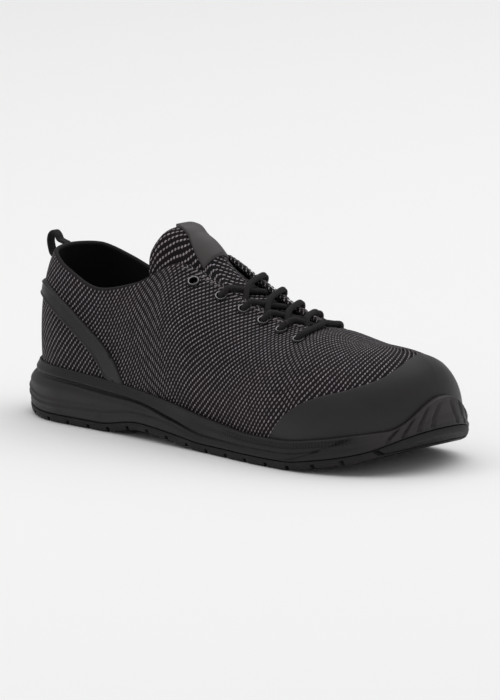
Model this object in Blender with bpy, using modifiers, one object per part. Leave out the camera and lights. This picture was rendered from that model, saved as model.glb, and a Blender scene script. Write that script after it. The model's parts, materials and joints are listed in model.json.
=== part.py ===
"""A right-foot safety sneaker with a knitted upper, built as a shoemaker would put it together.

Toe towards +X, lateral side towards -Y, floor at z = 0, and the origin on the floor under the sole's middle.
Every form is worked out from the sizes below and from short tables, whose lengths are shares of those sizes.
"""

import math
from bisect import bisect_right
from collections import namedtuple

import bmesh
import bpy
from mathutils import Vector

# Driving sizes, in metres
SOLE_LENGTH = 0.302
BALL_WIDTH = 0.100
INSTEP_HEIGHT = 0.101
TOE_HEIGHT = 0.0625
HEEL_FLARE = 0.0075
TOE_FLARE = 0.0050
SIDE_FLARE = 0.0055
BAND_OUTSET = 0.0042

# Sole heights
HEEL_RIM = 0.032
BUMPER_RISE = 0.015
TOE_SPRING = 0.020
ARCH_LIFT = 0.0045
OUTSOLE_THICKNESS = 0.0045
RIM_OVERLAP = 0.0055
RIM_THICKNESS = 0.0026
GROOVE_DEPTH = 0.0024
RIB_DEPTH = 0.0013
RIB_PITCH = 0.0085

# Tread
LUG_PITCH = 0.0165
TREAD_SLOT = 0.0024
TREAD_DEPTH = 0.0026

# Walls, overlays and trim
WALL = 0.0024
GAP = 0.0003
OVERLAY_GAP = 0.0007
OVERLAY_THICKNESS = 0.0011
INSOLE_THICKNESS = 0.0040
INSOLE_MARGIN = 0.0012
TONGUE_THICKNESS = 0.0050
TONGUE_CLEARANCE = 0.0020
TONGUE_WING = 0.14
TONGUE_TAIL = 0.010
PATCH_THICKNESS = 0.0009

# Eyelets and laces
EYELET_COUNT = 6
EYELET_BORE = 0.0048
EYELET_BARREL = 0.0005
EYELET_FLANGE = 0.0074
EYELET_PROUD = 0.0007
EYELET_SPREAD_TOP = 0.0210
EYELET_SPREAD_END = 0.0187
EYELET_SPREAD_WAIST = 0.0033
LACE_DIAMETER = 0.0036
LACE_GAP = 0.0005

# Pull loop: reach behind the collar's back edge and rise above it
LOOP_WIDTH = 0.0058
LOOP_THICKNESS = 0.0018
LOOP_REACH = 0.0160
LOOP_RISE = 0.0056
STRIP_HALF_ANGLE = 0.126

FOOT_LENGTH = SOLE_LENGTH - HEEL_FLARE - TOE_FLARE

# Shares of the foot's length over which the heel and the toe are round, seen from above
HEEL_ROUND = 0.150
TOE_ROUND = 0.215
TOE_SQUARENESS = 2.35
RIDGE_SPREAD = 0.6

# Columns round the foot and rows up the wall
COLUMNS = 72
WALL_ROWS = 9
TOE_REFINEMENT = 3
TOE_FINE_ANGLE = 0.42

# The feather line, where upper and sole meet: half breadths and the middle's shift, as shares of BALL_WIDTH
Feather = namedtuple("Feather", "station lateral medial middle")
FEATHER = [
    Feather(0.00, 0.325, 0.325, 0.00),
    Feather(0.14, 0.345, 0.340, 0.00),
    Feather(0.30, 0.360, 0.320, 0.00),
    Feather(0.44, 0.395, 0.305, 0.00),
    Feather(0.58, 0.430, 0.370, 0.00),
    Feather(0.70, 0.470, 0.455, 0.00),
    Feather(0.80, 0.485, 0.500, 0.01),
    Feather(0.90, 0.485, 0.500, 0.04),
    Feather(1.00, 0.470, 0.470, 0.07),
]

# The upper's top edge, and the ridge of the vamp beyond the throat. along is a share of the foot's length,
# breadth of BALL_WIDTH, and the height is instep x INSTEP_HEIGHT + toe x TOE_HEIGHT. medial is what the
# medial side has more of INSTEP_HEIGHT, since a foot's instep is higher there. lean is the wall's angle
# from upright at the top and flare at the bottom, in degrees. low and high say how full the wall is.
Top = namedtuple("Top", "station along breadth instep toe medial lean flare low high")
TOPLINE = [
    Top(0.00, 0.041, 0.225, 0.965, 0.00, 0.000, 30, 4, 0.34, 0.30),
    Top(0.06, 0.064, 0.248, 0.950, 0.00, 0.000, 26, 4, 0.34, 0.30),
    Top(0.14, 0.125, 0.285, 0.875, 0.00, 0.000, 12, 4, 0.36, 0.34),
    Top(0.26, 0.222, 0.310, 0.790, 0.00, 0.000, 4, 3, 0.38, 0.38),
    Top(0.36, 0.315, 0.280, 0.850, 0.00, 0.000, 24, 3, 0.42, 0.42),
    Top(0.45, 0.400, 0.180, 0.980, 0.00, 0.012, 48, 4, 0.50, 0.50),
    Top(0.49, 0.432, 0.152, 0.960, 0.00, 0.034, 57, 5, 0.52, 0.52),
    Top(0.58, 0.535, 0.125, 0.842, 0.00, 0.034, 65, 6, 0.54, 0.55),
    Top(0.68, 0.640, 0.100, 0.738, 0.00, 0.022, 72, 7, 0.56, 0.58),
    Top(0.74, 0.705, 0.065, 0.704, 0.00, 0.010, 80, 8, 0.58, 0.60),
    Top(0.78, 0.745, 0.000, 0.340, 0.58, 0.000, 90, 8, 0.60, 0.60),
    Top(0.86, 0.810, 0.000, 0.050, 0.97, 0.000, 90, 7, 0.64, 0.62),
    Top(0.92, 0.860, 0.000, 0.000, 1.05, 0.000, 90, 5, 0.68, 0.64),
    Top(1.00, 0.920, 0.000, 0.000, 1.05, 0.000, 90, 2, 0.76, 0.70),
]
THROAT_END = 0.78

# The sole's side: lift and rim as shares of the sizes above, flare as a share of the widest outset, and the
# sculpted groove's height as a share of the way from the floor side to the rim
Sole = namedtuple("Sole", "station spring arch rim flare groove depth")
SOLE = [
    Sole(0.00, 0.200, 0.0, 1.00, 1.00, 0.74, 0.60),
    Sole(0.05, 0.030, 0.0, 1.00, 1.00, 0.74, 0.70),
    Sole(0.10, 0.000, 0.0, 1.00, 1.00, 0.74, 0.80),
    Sole(0.25, 0.000, 0.0, 0.94, 0.95, 0.70, 1.00),
    Sole(0.37, 0.000, 1.0, 0.85, 1.00, 0.62, 1.00),
    Sole(0.46, 0.000, 0.6, 0.76, 0.95, 0.45, 1.00),
    Sole(0.56, 0.000, 0.0, 0.62, 0.90, 0.30, 0.45),
    Sole(0.70, 0.000, 0.0, 0.505, 0.90, 0.34, 0.25),
    Sole(0.77, 0.000, 0.0, 0.515, 0.90, 0.36, 0.25),
    Sole(0.86, 0.180, 0.0, 0.62, 0.90, 0.40, 0.25),
    Sole(0.93, 0.430, 0.0, 0.74, 0.95, 0.42, 0.25),
    Sole(1.00, 1.000, 0.0, 0.85, 1.00, 0.45, 0.25),
]

# The tongue: height of its ridge over its own edges as a share of INSTEP_HEIGHT, the lean of its sides, and
# how flat its crown is across, from 2 for a plain arch
Tongue = namedtuple("Tongue", "station crown lean flat")
TONGUE = [
    Tongue(0.378, 0.265, -12, 3.6),
    Tongue(0.392, 0.280, -8, 3.4),
    Tongue(0.420, 0.235, 8, 3.0),
    Tongue(0.450, 0.170, 30, 2.6),
    Tongue(0.490, 0.135, 46, 2.3),
    Tongue(0.530, 0.048, 58, 2.0),
    Tongue(0.560, 0.004, 66, 2.0),
    Tongue(0.680, 0.000, 74, 2.0),
    Tongue(0.765, 0.000, 88, 2.0),
]
TONGUE_STEPS = 8

# The tongue's bare patch: half of its width, as a share of the way over the tongue
Patch = namedtuple("Patch", "station half")
PATCH = [
    Patch(0.392, 0.07),
    Patch(0.425, 0.17),
    Patch(0.455, 0.28),
    Patch(0.480, 0.35),
    Patch(0.504, 0.41),
]

# The toe guard's top edge, as a share of the way up the wall
Guard = namedtuple("Guard", "station edge")
GUARD = [
    Guard(0.738, 0.03),
    Guard(0.750, 0.10),
    Guard(0.780, 0.20),
    Guard(0.820, 0.27),
    Guard(0.860, 0.33),
    Guard(0.912, 0.39),
    Guard(0.953, 0.46),
    Guard(0.975, 0.55),
    Guard(0.993, 0.68),
    Guard(1.000, 0.75),
]

# The heel strap's two edges, as shares of the way up the wall
Strap = namedtuple("Strap", "station low high")
STRAP = [
    Strap(0.000, 0.57, 0.68),
    Strap(0.060, 0.58, 0.72),
    Strap(0.100, 0.56, 0.73),
    Strap(0.160, 0.48, 0.69),
    Strap(0.200, 0.39, 0.63),
    Strap(0.235, 0.27, 0.55),
    Strap(0.260, 0.10, 0.46),
    Strap(0.285, 0.05, 0.32),
    Strap(0.312, 0.05, 0.08),
]

# Where a lace bar meets its crossing: sideways from the middle and towards the heel, in lace diameters
CROSSING_SIDE = 1.3
CROSSING_BACK = 0.0


def smooth(rows, column):
    """A curve through one column of a table, over its stations, that never overshoots its rows."""
    xs = [row.station for row in rows]
    ys = [getattr(row, column) for row in rows]
    slopes = [(b - a) / (q - p) for a, b, p, q in zip(ys, ys[1:], xs, xs[1:])]
    tangents = [slopes[0]]
    for a, b in zip(slopes, slopes[1:]):
        tangents.append(2 * a * b / (a + b) if a * b > 0 else 0.0)
    tangents.append(slopes[-1])

    def at(x):
        x = min(max(x, xs[0]), xs[-1])
        k = min(bisect_right(xs, x) - 1, len(xs) - 2)
        step = xs[k + 1] - xs[k]
        t = (x - xs[k]) / step
        return (
            ys[k] * (1 + 2 * t) * (1 - t) ** 2
            + ys[k + 1] * t * t * (3 - 2 * t)
            + tangents[k] * step * t * (1 - t) ** 2
            - tangents[k + 1] * step * t * t * (1 - t)
        )

    return at


def columns_of(rows):
    """Every column of a table as a smooth curve."""
    return {name: smooth(rows, name) for name in rows[0]._fields[1:]}


feather_at = columns_of(FEATHER)
top_at = columns_of(TOPLINE)
sole_at = columns_of(SOLE)
guard_at = columns_of(GUARD)
strap_at = columns_of(STRAP)
tongue_at = columns_of(TONGUE)
patch_at = columns_of(PATCH)


def station(theta):
    """Share of the foot's length at an angle round the foot: 0 at the heel's back, pi at the toe's tip."""
    return (1 - math.cos(theta)) / 2


def angle(share):
    """The angle round the foot, on the lateral side, of a share of its length."""
    return math.acos(1 - 2 * share)


def top_station(theta):
    """Where a wall's top lies along TOPLINE: its station, but spread evenly round the ridge's end."""
    turn = 1 - abs(1 - theta % (2 * math.pi) / math.pi)
    if turn < 0.5:
        return station(theta)
    u = 2 * turn - 1
    end = RIDGE_SPREAD
    start = math.pi / 2
    return 0.5 + 0.5 * u * (start + u * ((3 - 2 * start - end) + u * (start + end - 2)))


def side_of(theta):
    """-1 on the lateral side and 1 on the medial side."""
    return -1 if math.sin(theta) >= 0 else 1


def round_end(share, power=2.0):
    """Rises from 0 to 1 as the end of an oval does."""
    inner = max(0.0, 1 - share)
    return (1 - inner**power) ** (1 / power)


def feather_point(theta):
    """The feather line seen from above."""
    s = station(theta)
    side = side_of(theta)
    breadth = feather_at["lateral" if side < 0 else "medial"](s)
    breadth *= round_end(s / HEEL_ROUND) * round_end((1 - s) / TOE_ROUND, TOE_SQUARENESS)
    y = feather_at["middle"](s) + side * breadth
    return Vector((HEEL_FLARE + s * FOOT_LENGTH, y * BALL_WIDTH, 0))


def outward(theta):
    """The level direction out of the feather line."""
    step = 0.004
    along = feather_point(theta + step) - feather_point(theta - step)
    return Vector((along.y, -along.x, 0)).normalized()


def floor_lift(s):
    """Height of the tread's lowest surface above the floor."""
    return sole_at["spring"](s) * TOE_SPRING + sole_at["arch"](s) * ARCH_LIFT


def rim_height(s):
    """Height of the sole's rim, without the toe bumper."""
    return sole_at["rim"](s) * HEEL_RIM


def bumper(theta):
    """How far the rim rises at the toe's tip."""
    away = abs(math.pi - theta % (2 * math.pi))
    return BUMPER_RISE * 0.5 * (1 + math.cos(math.pi * min(1.0, away / 0.40)))


def bed_height(s):
    """Height of the midsole's bed, which closes the upper underneath."""
    return rim_height(s) - RIM_OVERLAP


def top_point(theta):
    """The upper's top edge or, beyond the throat, its ridge."""
    s = top_station(theta)
    along = top_at["along"](s)
    breadth = top_at["breadth"](s) * round_end(s / HEEL_ROUND)
    if s < THROAT_END:
        breadth *= round_end((THROAT_END - s) / 0.10)
    y = feather_at["middle"](along) + side_of(theta) * breadth
    z = top_at["instep"](s) * INSTEP_HEIGHT + top_at["toe"](s) * TOE_HEIGHT
    if side_of(theta) > 0:
        z += top_at["medial"](s) * INSTEP_HEIGHT
    return Vector((HEEL_FLARE + along * FOOT_LENGTH, y * BALL_WIDTH, z))


def wall_point(theta, v):
    """The upper's outer face, from the feather line at v = 0 to the top edge at v = 1."""
    s = station(theta)
    out = outward(theta)
    up = Vector((0, 0, 1))
    foot = feather_point(theta) + up * (bed_height(s) + GAP)
    top = top_point(theta)
    rise = top.z - foot.z
    reach = (foot - top).dot(out)
    place = top_station(theta)
    flare = math.radians(top_at["flare"](place))
    lean = math.radians(top_at["lean"](place))
    low = foot + (up * math.cos(flare) + out * math.sin(flare)) * top_at["low"](place) * rise
    span = rise * math.cos(lean) + reach * math.sin(lean)
    high = top + (out * math.sin(lean) - up * math.cos(lean)) * top_at["high"](place) * span
    w = 1 - v
    return foot * w**3 + low * 3 * w * w * v + high * 3 * w * v * v + top * v**3


def wall_normal(theta, v):
    """Outward direction of the upper's outer face."""
    step = 0.004
    if v > 1 - step and top_station(theta) >= THROAT_END:
        both = wall_normal(theta, 1 - 4 * step) + wall_normal(-theta, 1 - 4 * step)
        return both.normalized()
    v = min(max(v, step), 1 - step)
    around = wall_point(theta + step, v) - wall_point(theta - step, v)
    upward = wall_point(theta, v + step) - wall_point(theta, v - step)
    return around.cross(upward).normalized()


def wall_share(theta, height):
    """How far up the wall a height is reached."""
    low, high = 0.0, 1.0
    for _ in range(30):
        middle = (low + high) / 2
        if wall_point(theta, middle).z < height:
            low = middle
        else:
            high = middle
    return low


def facet_point(theta, v, lift):
    """A point on the upper's own facets, lifted off them. A negative lift lies inside the foot's space."""
    step = 2 * math.pi / COLUMNS
    column = theta / step
    row = v * WALL_ROWS
    first_column = math.floor(column + 1e-6)
    first_row = min(math.floor(row + 1e-6), WALL_ROWS - 1)
    point, normal = Vector(), Vector()
    for c in (first_column, first_column + 1):
        for r in (first_row, first_row + 1):
            weight = max(0.0, 1 - abs(column - c)) * max(0.0, 1 - abs(row - r))
            if weight > 0:
                point += wall_point(c * step, r / WALL_ROWS) * weight
                normal += wall_normal(c * step, r / WALL_ROWS) * weight
    return point + normal.normalized() * lift


def foot_angles(first=0.0, last=2 * math.pi, fine=False):
    """Angles round the foot, mirrored about the toe's tip, closer together there if fine."""
    half = COLUMNS // 2
    step = math.pi / half
    angles = [k * step for k in range(half + 1)]
    if fine:
        start = math.pi - TOE_FINE_ANGLE
        coarse = [a for a in angles if a < start]
        count = round((math.pi - coarse[-1]) / step * TOE_REFINEMENT)
        angles = coarse + [
            coarse[-1] + (math.pi - coarse[-1]) * k / count for k in range(1, count + 1)
        ]
    angles += [2 * math.pi - a for a in reversed(angles[1:-1])]
    return [a for a in angles if first - 1e-9 <= a <= last + 1e-9]


def new_object(name, bm, collection):
    """A mesh object from a bmesh, in a collection."""
    mesh = bpy.data.meshes.new(name)
    bm.to_mesh(mesh)
    bm.free()
    obj = bpy.data.objects.new(name, mesh)
    collection.objects.link(obj)
    return obj


def grid_faces(bm, rows, closed):
    """Joins rows of vertices into faces. Each row runs round the foot, and rows go upwards."""
    for low, high in zip(rows, rows[1:]):
        count = len(low) if closed else len(low) - 1
        for k in range(count):
            n = (k + 1) % len(low)
            bm.faces.new((low[k], low[n], high[n], high[k]))


def add_modifier(obj, kind, **settings):
    """A modifier with its settings."""
    modifier = obj.modifiers.new(kind.title(), kind)
    for name, value in settings.items():
        setattr(modifier, name, value)
    return modifier


def finish(name, obj, colour, roughness, metallic=0.0):
    """Gives an object its material and smooth shading."""
    material = bpy.data.materials.new(name)
    material.use_nodes = True
    shader = material.node_tree.nodes["Principled BSDF"]
    shader.inputs["Base Color"].default_value = (*colour, 1)
    shader.inputs["Roughness"].default_value = roughness
    shader.inputs["Metallic"].default_value = metallic
    obj.data.materials.append(material)
    if obj.type == "MESH":
        obj.data.shade_smooth()
    return obj


KNIT_BLACK = (0.030, 0.030, 0.034)
FILM_BLACK = (0.022, 0.022, 0.022)
FOAM_BLACK = (0.026, 0.025, 0.025)
RUBBER_BLACK = (0.018, 0.018, 0.018)
CORD_BLACK = (0.030, 0.029, 0.030)
ENAMEL_BLACK = (0.060, 0.058, 0.058)


def build_upper(parts, helpers):
    """The knitted upper: one hollow wall, open at collar, throat and underneath, with eyelet holes."""
    bm = bmesh.new()
    angles = foot_angles()
    rows = [
        [bm.verts.new(wall_point(a, j / WALL_ROWS)) for a in angles]
        for j in range(WALL_ROWS + 1)
    ]
    grid_faces(bm, rows, closed=True)
    bmesh.ops.remove_doubles(bm, verts=bm.verts, dist=1e-5)
    upper = new_object("upper", bm, parts)
    add_modifier(upper, "SOLIDIFY", thickness=WALL, offset=-1)
    add_modifier(upper, "BOOLEAN", object=build_eyelet_cutter(helpers), operation="DIFFERENCE")
    return finish("knit_textile", upper, KNIT_BLACK, 0.9)


def eyelet_seats():
    """Centre and outward direction of each eyelet, from the collar down, lateral then medial."""
    first = angle(0.507)
    last = angle(0.777)
    seats = []
    for side in (-1, 1):
        for k in range(EYELET_COUNT):
            share = k / (EYELET_COUNT - 1)
            theta = first + (last - first) * share
            if side > 0:
                theta = 2 * math.pi - theta
            spread = EYELET_SPREAD_TOP + (EYELET_SPREAD_END - EYELET_SPREAD_TOP) * share
            spread -= EYELET_SPREAD_WAIST * 4 * share * (1 - share)
            v = 1.0
            while abs(wall_point(theta, v).y) < spread:
                v -= 0.002
            seats.append((wall_point(theta, v), wall_normal(theta, v)))
    return seats


def turn_to(direction):
    """Rotation that takes +Z to a direction."""
    return Vector((0, 0, 1)).rotation_difference(direction).to_matrix().to_4x4()


def build_eyelet_cutter(helpers):
    """Cylinders that cut the eyelets' holes through the wall."""
    bm = bmesh.new()
    radius = EYELET_BORE / 2 + EYELET_BARREL + GAP
    for centre, normal in eyelet_seats():
        made = bmesh.ops.create_cone(
            bm, cap_ends=True, segments=12, radius1=radius, radius2=radius, depth=WALL * 4
        )
        bmesh.ops.transform(bm, matrix=turn_to(normal), verts=made["verts"])
        bmesh.ops.translate(bm, vec=centre, verts=made["verts"])
    cutter = new_object("eyelet_cutter", bm, helpers)
    cutter.hide_render = True
    cutter.display_type = "WIRE"
    return cutter


def build_eyelets(parts):
    """Rolled metal eyelets: a turned ring with a barrel through the wall and a flange over it."""
    inner = EYELET_BORE / 2
    outer = inner + EYELET_BARREL
    flange = EYELET_FLANGE / 2
    seat = OVERLAY_GAP
    profile = [
        (inner, seat + EYELET_PROUD),
        (flange, seat + EYELET_PROUD * 0.4),
        (flange, seat),
        (outer, seat),
        (outer, -WALL),
        (inner, -WALL),
    ]
    steps = 10
    for k, (centre, normal) in enumerate(eyelet_seats()):
        bm = bmesh.new()
        rings = []
        for radius, height in profile:
            turns = [2 * math.pi * n / steps for n in range(steps)]
            rings.append(
                [bm.verts.new((radius * math.cos(a), radius * math.sin(a), height)) for a in turns]
            )
        grid_faces(bm, [*rings, rings[0]], closed=True)
        bmesh.ops.recalc_face_normals(bm, faces=bm.faces)
        bmesh.ops.transform(bm, matrix=turn_to(normal), verts=bm.verts)
        side = "lateral" if k < EYELET_COUNT else "medial"
        eyelet = new_object(f"eyelet_{side}_{k % EYELET_COUNT + 1}", bm, parts)
        eyelet.location = centre
        finish("enamelled_metal", eyelet, ENAMEL_BLACK, 0.4, 0.8)


def ring_at(bm, angles, outset, height):
    """A ring of vertices round the sole. outset and height are functions of the angle."""
    ring = []
    for a in angles:
        point = feather_point(a) + outward(a) * outset(a)
        point.z = height(a)
        ring.append(bm.verts.new(point))
    return ring


def strip_faces(bm, ring, downwards):
    """Closes a ring with strips from its lateral side to its medial side."""
    count = len(ring)
    for k in range(count // 2):
        a, b = ring[k], ring[k + 1]
        c, d = ring[(count - k - 1) % count], ring[(count - k) % count]
        corners = [v for n, v in enumerate((a, b, c, d)) if v not in (a, b, c, d)[:n]]
        bm.faces.new(corners if not downwards else reversed(corners))


def widest(theta):
    """The sole's outset where it is widest, from the heel's flare to the toe's."""
    s = station(theta)
    heel = max(0.0, 1 - s / HEEL_ROUND)
    toe = max(0.0, 1 - (1 - s) / TOE_ROUND)
    full = SIDE_FLARE + (HEEL_FLARE - SIDE_FLARE) * heel + (TOE_FLARE - SIDE_FLARE) * toe
    return full * sole_at["flare"](s)


def rib(theta, height):
    """Depth of the toe bumper's slanted ribs, at a share of the side's height."""
    away = math.pi - theta
    if abs(away) > TOE_FINE_ANGLE:
        return 0.0
    along = away * math.sqrt(TOE_ROUND * FOOT_LENGTH * BALL_WIDTH / 2)
    wave = math.cos(2 * math.pi * (along / RIB_PITCH + 0.8 * height * math.copysign(1, along)))
    fade = math.cos(0.5 * math.pi * away / TOE_FINE_ANGLE)
    return RIB_DEPTH * fade * max(0.0, wave)


def build_midsole(parts):
    """The foam midsole: a flared heel wedge, a groove below the rim, and a rim that holds the upper."""
    bm = bmesh.new()
    angles = foot_angles(fine=True)

    def base(a):
        return floor_lift(station(a)) + OUTSOLE_THICKNESS + GAP

    def rim(a):
        return rim_height(station(a)) + bumper(a)

    def between(share):
        return lambda a: base(a) + (rim(a) - base(a)) * share

    def groove(a, shift):
        return base(a) + (rim(a) - base(a)) * (sole_at["groove"](station(a)) + shift)

    def depth(a):
        return GROOVE_DEPTH * sole_at["depth"](station(a))

    def side(share, pull=0.0):
        return lambda a: widest(a) * (1 - share) + BAND_OUTSET * share - pull - rib(a, share)

    rings = [
        ring_at(bm, angles, side(0.0, 0.0004), base),
        ring_at(bm, angles, side(0.0), between(0.14)),
        ring_at(bm, angles, side(0.35), lambda a: groove(a, -0.20)),
        ring_at(bm, angles, lambda a: side(0.9)(a) - 0.4 * depth(a), lambda a: groove(a, -0.04)),
        ring_at(bm, angles, lambda a: side(1.0)(a) - depth(a), lambda a: groove(a, 0.02)),
        ring_at(bm, angles, side(1.0, 0.0002), lambda a: groove(a, 0.09)),
        ring_at(bm, angles, side(1.0), between(0.92)),
    ]

    def inner(share):
        ring = []
        for a in angles:
            bed = bed_height(station(a))
            height = bed + (rim(a) - bed) * share
            foot = bed + 2 * GAP
            v = wall_share(a, max(height, foot))
            point = wall_point(a, v) + wall_normal(a, v) * (GAP + 0.0001)
            point.z = height
            ring.append(point)
        return ring

    crest = inner(1.0)
    outer_crest = []
    for a, point in zip(angles, crest):
        crown = point + outward(a) * min(RIM_THICKNESS, BAND_OUTSET * 0.6)
        outer_crest.append(bm.verts.new(crown))
    rings.append(outer_crest)
    for share in (1.0, 0.66, 0.33, 0.0):
        rings.append([bm.verts.new(p) for p in inner(share)])
    grid_faces(bm, rings, closed=True)
    strip_faces(bm, rings[0], downwards=True)
    strip_faces(bm, rings[-1], downwards=False)
    midsole = new_object("midsole", bm, parts)
    return finish("moulded_foam", midsole, FOAM_BLACK, 0.7)


def build_outsole(parts, helpers):
    """The rubber outsole: a bevelled plate with the tread's slots cut across it."""
    bm = bmesh.new()
    angles = foot_angles()

    def at(height):
        return lambda a: floor_lift(station(a)) + height

    rings = [
        ring_at(bm, angles, lambda a: widest(a) - 0.0022, at(0.0)),
        ring_at(bm, angles, lambda a: widest(a) - 0.0004, at(OUTSOLE_THICKNESS * 0.35)),
        ring_at(bm, angles, lambda a: widest(a), at(OUTSOLE_THICKNESS * 0.75)),
        ring_at(bm, angles, lambda a: widest(a) - 0.0003, at(OUTSOLE_THICKNESS)),
    ]
    grid_faces(bm, rings, closed=True)
    strip_faces(bm, rings[0], downwards=True)
    strip_faces(bm, rings[-1], downwards=False)
    outsole = new_object("outsole", bm, parts)
    cutter = build_tread_cutter(helpers)
    add_modifier(outsole, "BOOLEAN", object=cutter, operation="DIFFERENCE")
    return finish("tread_rubber", outsole, RUBBER_BLACK, 0.75)


def build_tread_cutter(helpers):
    """Boxes across the sole, one for each slot between two rows of lugs, following the toe spring."""
    bm = bmesh.new()
    count = int(SOLE_LENGTH * 0.94 / LUG_PITCH)
    for k in range(1, count + 1):
        x = SOLE_LENGTH * 0.02 + k * LUG_PITCH
        s = (x - HEEL_FLARE) / FOOT_LENGTH
        if not 0.03 < s < 0.97:
            continue
        slope = (floor_lift(s + 0.01) - floor_lift(s - 0.01)) / (0.02 * FOOT_LENGTH)
        made = bmesh.ops.create_cube(bm, size=1.0)
        verts = made["verts"]
        tall = TREAD_DEPTH * 2
        bmesh.ops.scale(bm, vec=(TREAD_SLOT, BALL_WIDTH * 2, tall), verts=verts)
        for v in verts:
            v.co.x -= v.co.z * slope
            v.co.z += v.co.x * slope
        bmesh.ops.translate(bm, vec=(x, 0, floor_lift(s)), verts=verts)
    cutter = new_object("tread_cutter", bm, helpers)
    cutter.hide_render = True
    cutter.display_type = "WIRE"
    return cutter


def build_insole(parts):
    """The insole, lying on the midsole's bed inside the upper."""
    bm = bmesh.new()
    angles = foot_angles()

    def inset(a):
        return -(WALL + INSOLE_MARGIN)

    def at(height):
        return lambda a: bed_height(station(a)) + height

    rings = [
        ring_at(bm, angles, inset, at(GAP)),
        ring_at(bm, angles, inset, at(GAP + INSOLE_THICKNESS)),
    ]
    grid_faces(bm, rings, closed=True)
    strip_faces(bm, rings[0], downwards=True)
    strip_faces(bm, rings[-1], downwards=False)
    insole = new_object("insole", bm, parts)
    return finish("insole_foam", insole, CORD_BLACK, 0.95)


def overlay(name, parts, columns, low, high, rows):
    """A film bonded over the upper: the part of its wall between two edges, lifted and thickened."""
    bm = bmesh.new()
    grid = []
    for j in range(rows + 1):
        line = []
        for a in columns:
            v = low(a) + (high(a) - low(a)) * j / rows
            line.append(bm.verts.new(facet_point(a, v, OVERLAY_GAP)))
        grid.append(line)
    grid_faces(bm, grid, closed=False)
    obj = new_object(name, bm, parts)
    add_modifier(obj, "SOLIDIFY", thickness=OVERLAY_THICKNESS, offset=1)
    return finish("bonded_film", obj, FILM_BLACK, 0.55)


def above_rim(theta):
    """The share of the wall just above the sole's rim."""
    return wall_share(theta, rim_height(station(theta)) + bumper(theta) + OVERLAY_GAP)


def build_toe_guard(parts):
    """The toe guard: a film that wraps the toe box and runs back along both sides."""
    first = angle(GUARD[0].station)
    columns = [first, *foot_angles(first + 0.02, 2 * math.pi - first - 0.02), 2 * math.pi - first]

    def high(a):
        return max(above_rim(a) + 0.03, guard_at["edge"](station(a)))

    return overlay("toe_guard", parts, columns, above_rim, high, 7)


def strap_low(theta):
    """The heel strap's lower edge on the wall."""
    return max(above_rim(theta), strap_at["low"](station(theta)))


def build_heel_strap(parts):
    """The heel strap: a film band that drops from the back of the heel to the sole on both sides."""
    last = angle(STRAP[-1].station)
    half = 14
    columns = [2 * math.pi - last + last * k / half for k in range(half)]
    columns += [last * k / half for k in range(half + 1)]

    def high(a):
        return max(strap_low(a) + 0.02, strap_at["high"](station(a)))

    return overlay("heel_strap", parts, columns, strap_low, high, 2)


def build_heel_strip(parts):
    """The upright film strip at the back of the heel, from the sole to the strap."""
    step = 2 * math.pi / COLUMNS
    turns = [-STRIP_HALF_ANGLE, -step, 0.0, step, STRIP_HALF_ANGLE]
    columns = [a % (2 * math.pi) for a in turns]

    def high(a):
        return strap_low(a) - 0.012

    return overlay("heel_strip", parts, columns, above_rim, high, 4)


def tongue_point(theta, t):
    """A point of the tongue's outer face on its way over the instep: lateral edge at 0, medial edge at 1."""
    s = station(theta)
    depth = -(WALL + TONGUE_CLEARANCE)
    near = facet_point(theta, 1.0, depth)
    far = facet_point(2 * math.pi - theta, 1.0, depth)
    crown = tongue_at["crown"](s) * INSTEP_HEIGHT
    reach = crown * 4 / 3 * math.tan(math.radians(tongue_at["lean"](s)))
    middle = (near + far) / 2
    first, second = (edge.lerp(middle, min(0.7, reach / (middle - edge).length)) for edge in (near, far))
    w = 1 - t
    level = near * w**3 + first * 3 * w * w * t + second * 3 * w * t * t + far * t**3
    return level + Vector((0, 0, crown * (1 - abs(2 * t - 1) ** tongue_at["flat"](s))))


def tongue_normal(theta, t):
    """Outward direction of the tongue's outer face."""
    step = 0.01
    along = tongue_point(theta + step, t) - tongue_point(theta - step, t)
    over = tongue_point(theta, t + step) - tongue_point(theta, t - step)
    return along.cross(over).normalized()


def tongue_angles():
    """The lateral columns that the tongue spans, from its free end to its end under the vamp."""
    first, last = angle(TONGUE[0].station), angle(TONGUE[-1].station)
    return [first, *foot_angles(first + 0.02, last - 0.02), last]


def build_tongue(parts):
    """The padded tongue: its wings lie inside the eyestays and its middle arches over the instep."""
    bm = bmesh.new()
    rows = []
    depth = -(WALL + TONGUE_CLEARANCE)
    for theta in tongue_angles():
        wing = [1 - TONGUE_WING, 1 - TONGUE_WING / 2]
        line = [facet_point(theta, v, depth) for v in wing]
        line += [tongue_point(theta, k / TONGUE_STEPS) for k in range(TONGUE_STEPS + 1)]
        line += [facet_point(2 * math.pi - theta, v, depth) for v in reversed(wing)]
        rows.append([bm.verts.new(p) for p in line])
    tail = Vector((TONGUE_TAIL, 0, -0.35 * TONGUE_TAIL))
    rows.append([bm.verts.new(v.co + tail) for v in rows[-1]])
    grid_faces(bm, rows, closed=False)
    bmesh.ops.reverse_faces(bm, faces=bm.faces)
    tongue = new_object("tongue", bm, parts)
    padding = tongue.vertex_groups.new(name="padding")
    across = len(rows[0])
    for k in range(len(rows) * across):
        row, column = divmod(k, across)
        border = row in (0, len(rows) - 1) or column in (0, across - 1)
        padding.add([k], 0.0 if border else 1.0, "REPLACE")
    add_modifier(
        tongue, "SOLIDIFY", thickness=TONGUE_THICKNESS, offset=-1,
        vertex_group="padding", thickness_vertex_group=0.35,
    )
    return finish("knit_textile", tongue, KNIT_BLACK, 0.9)


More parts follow.
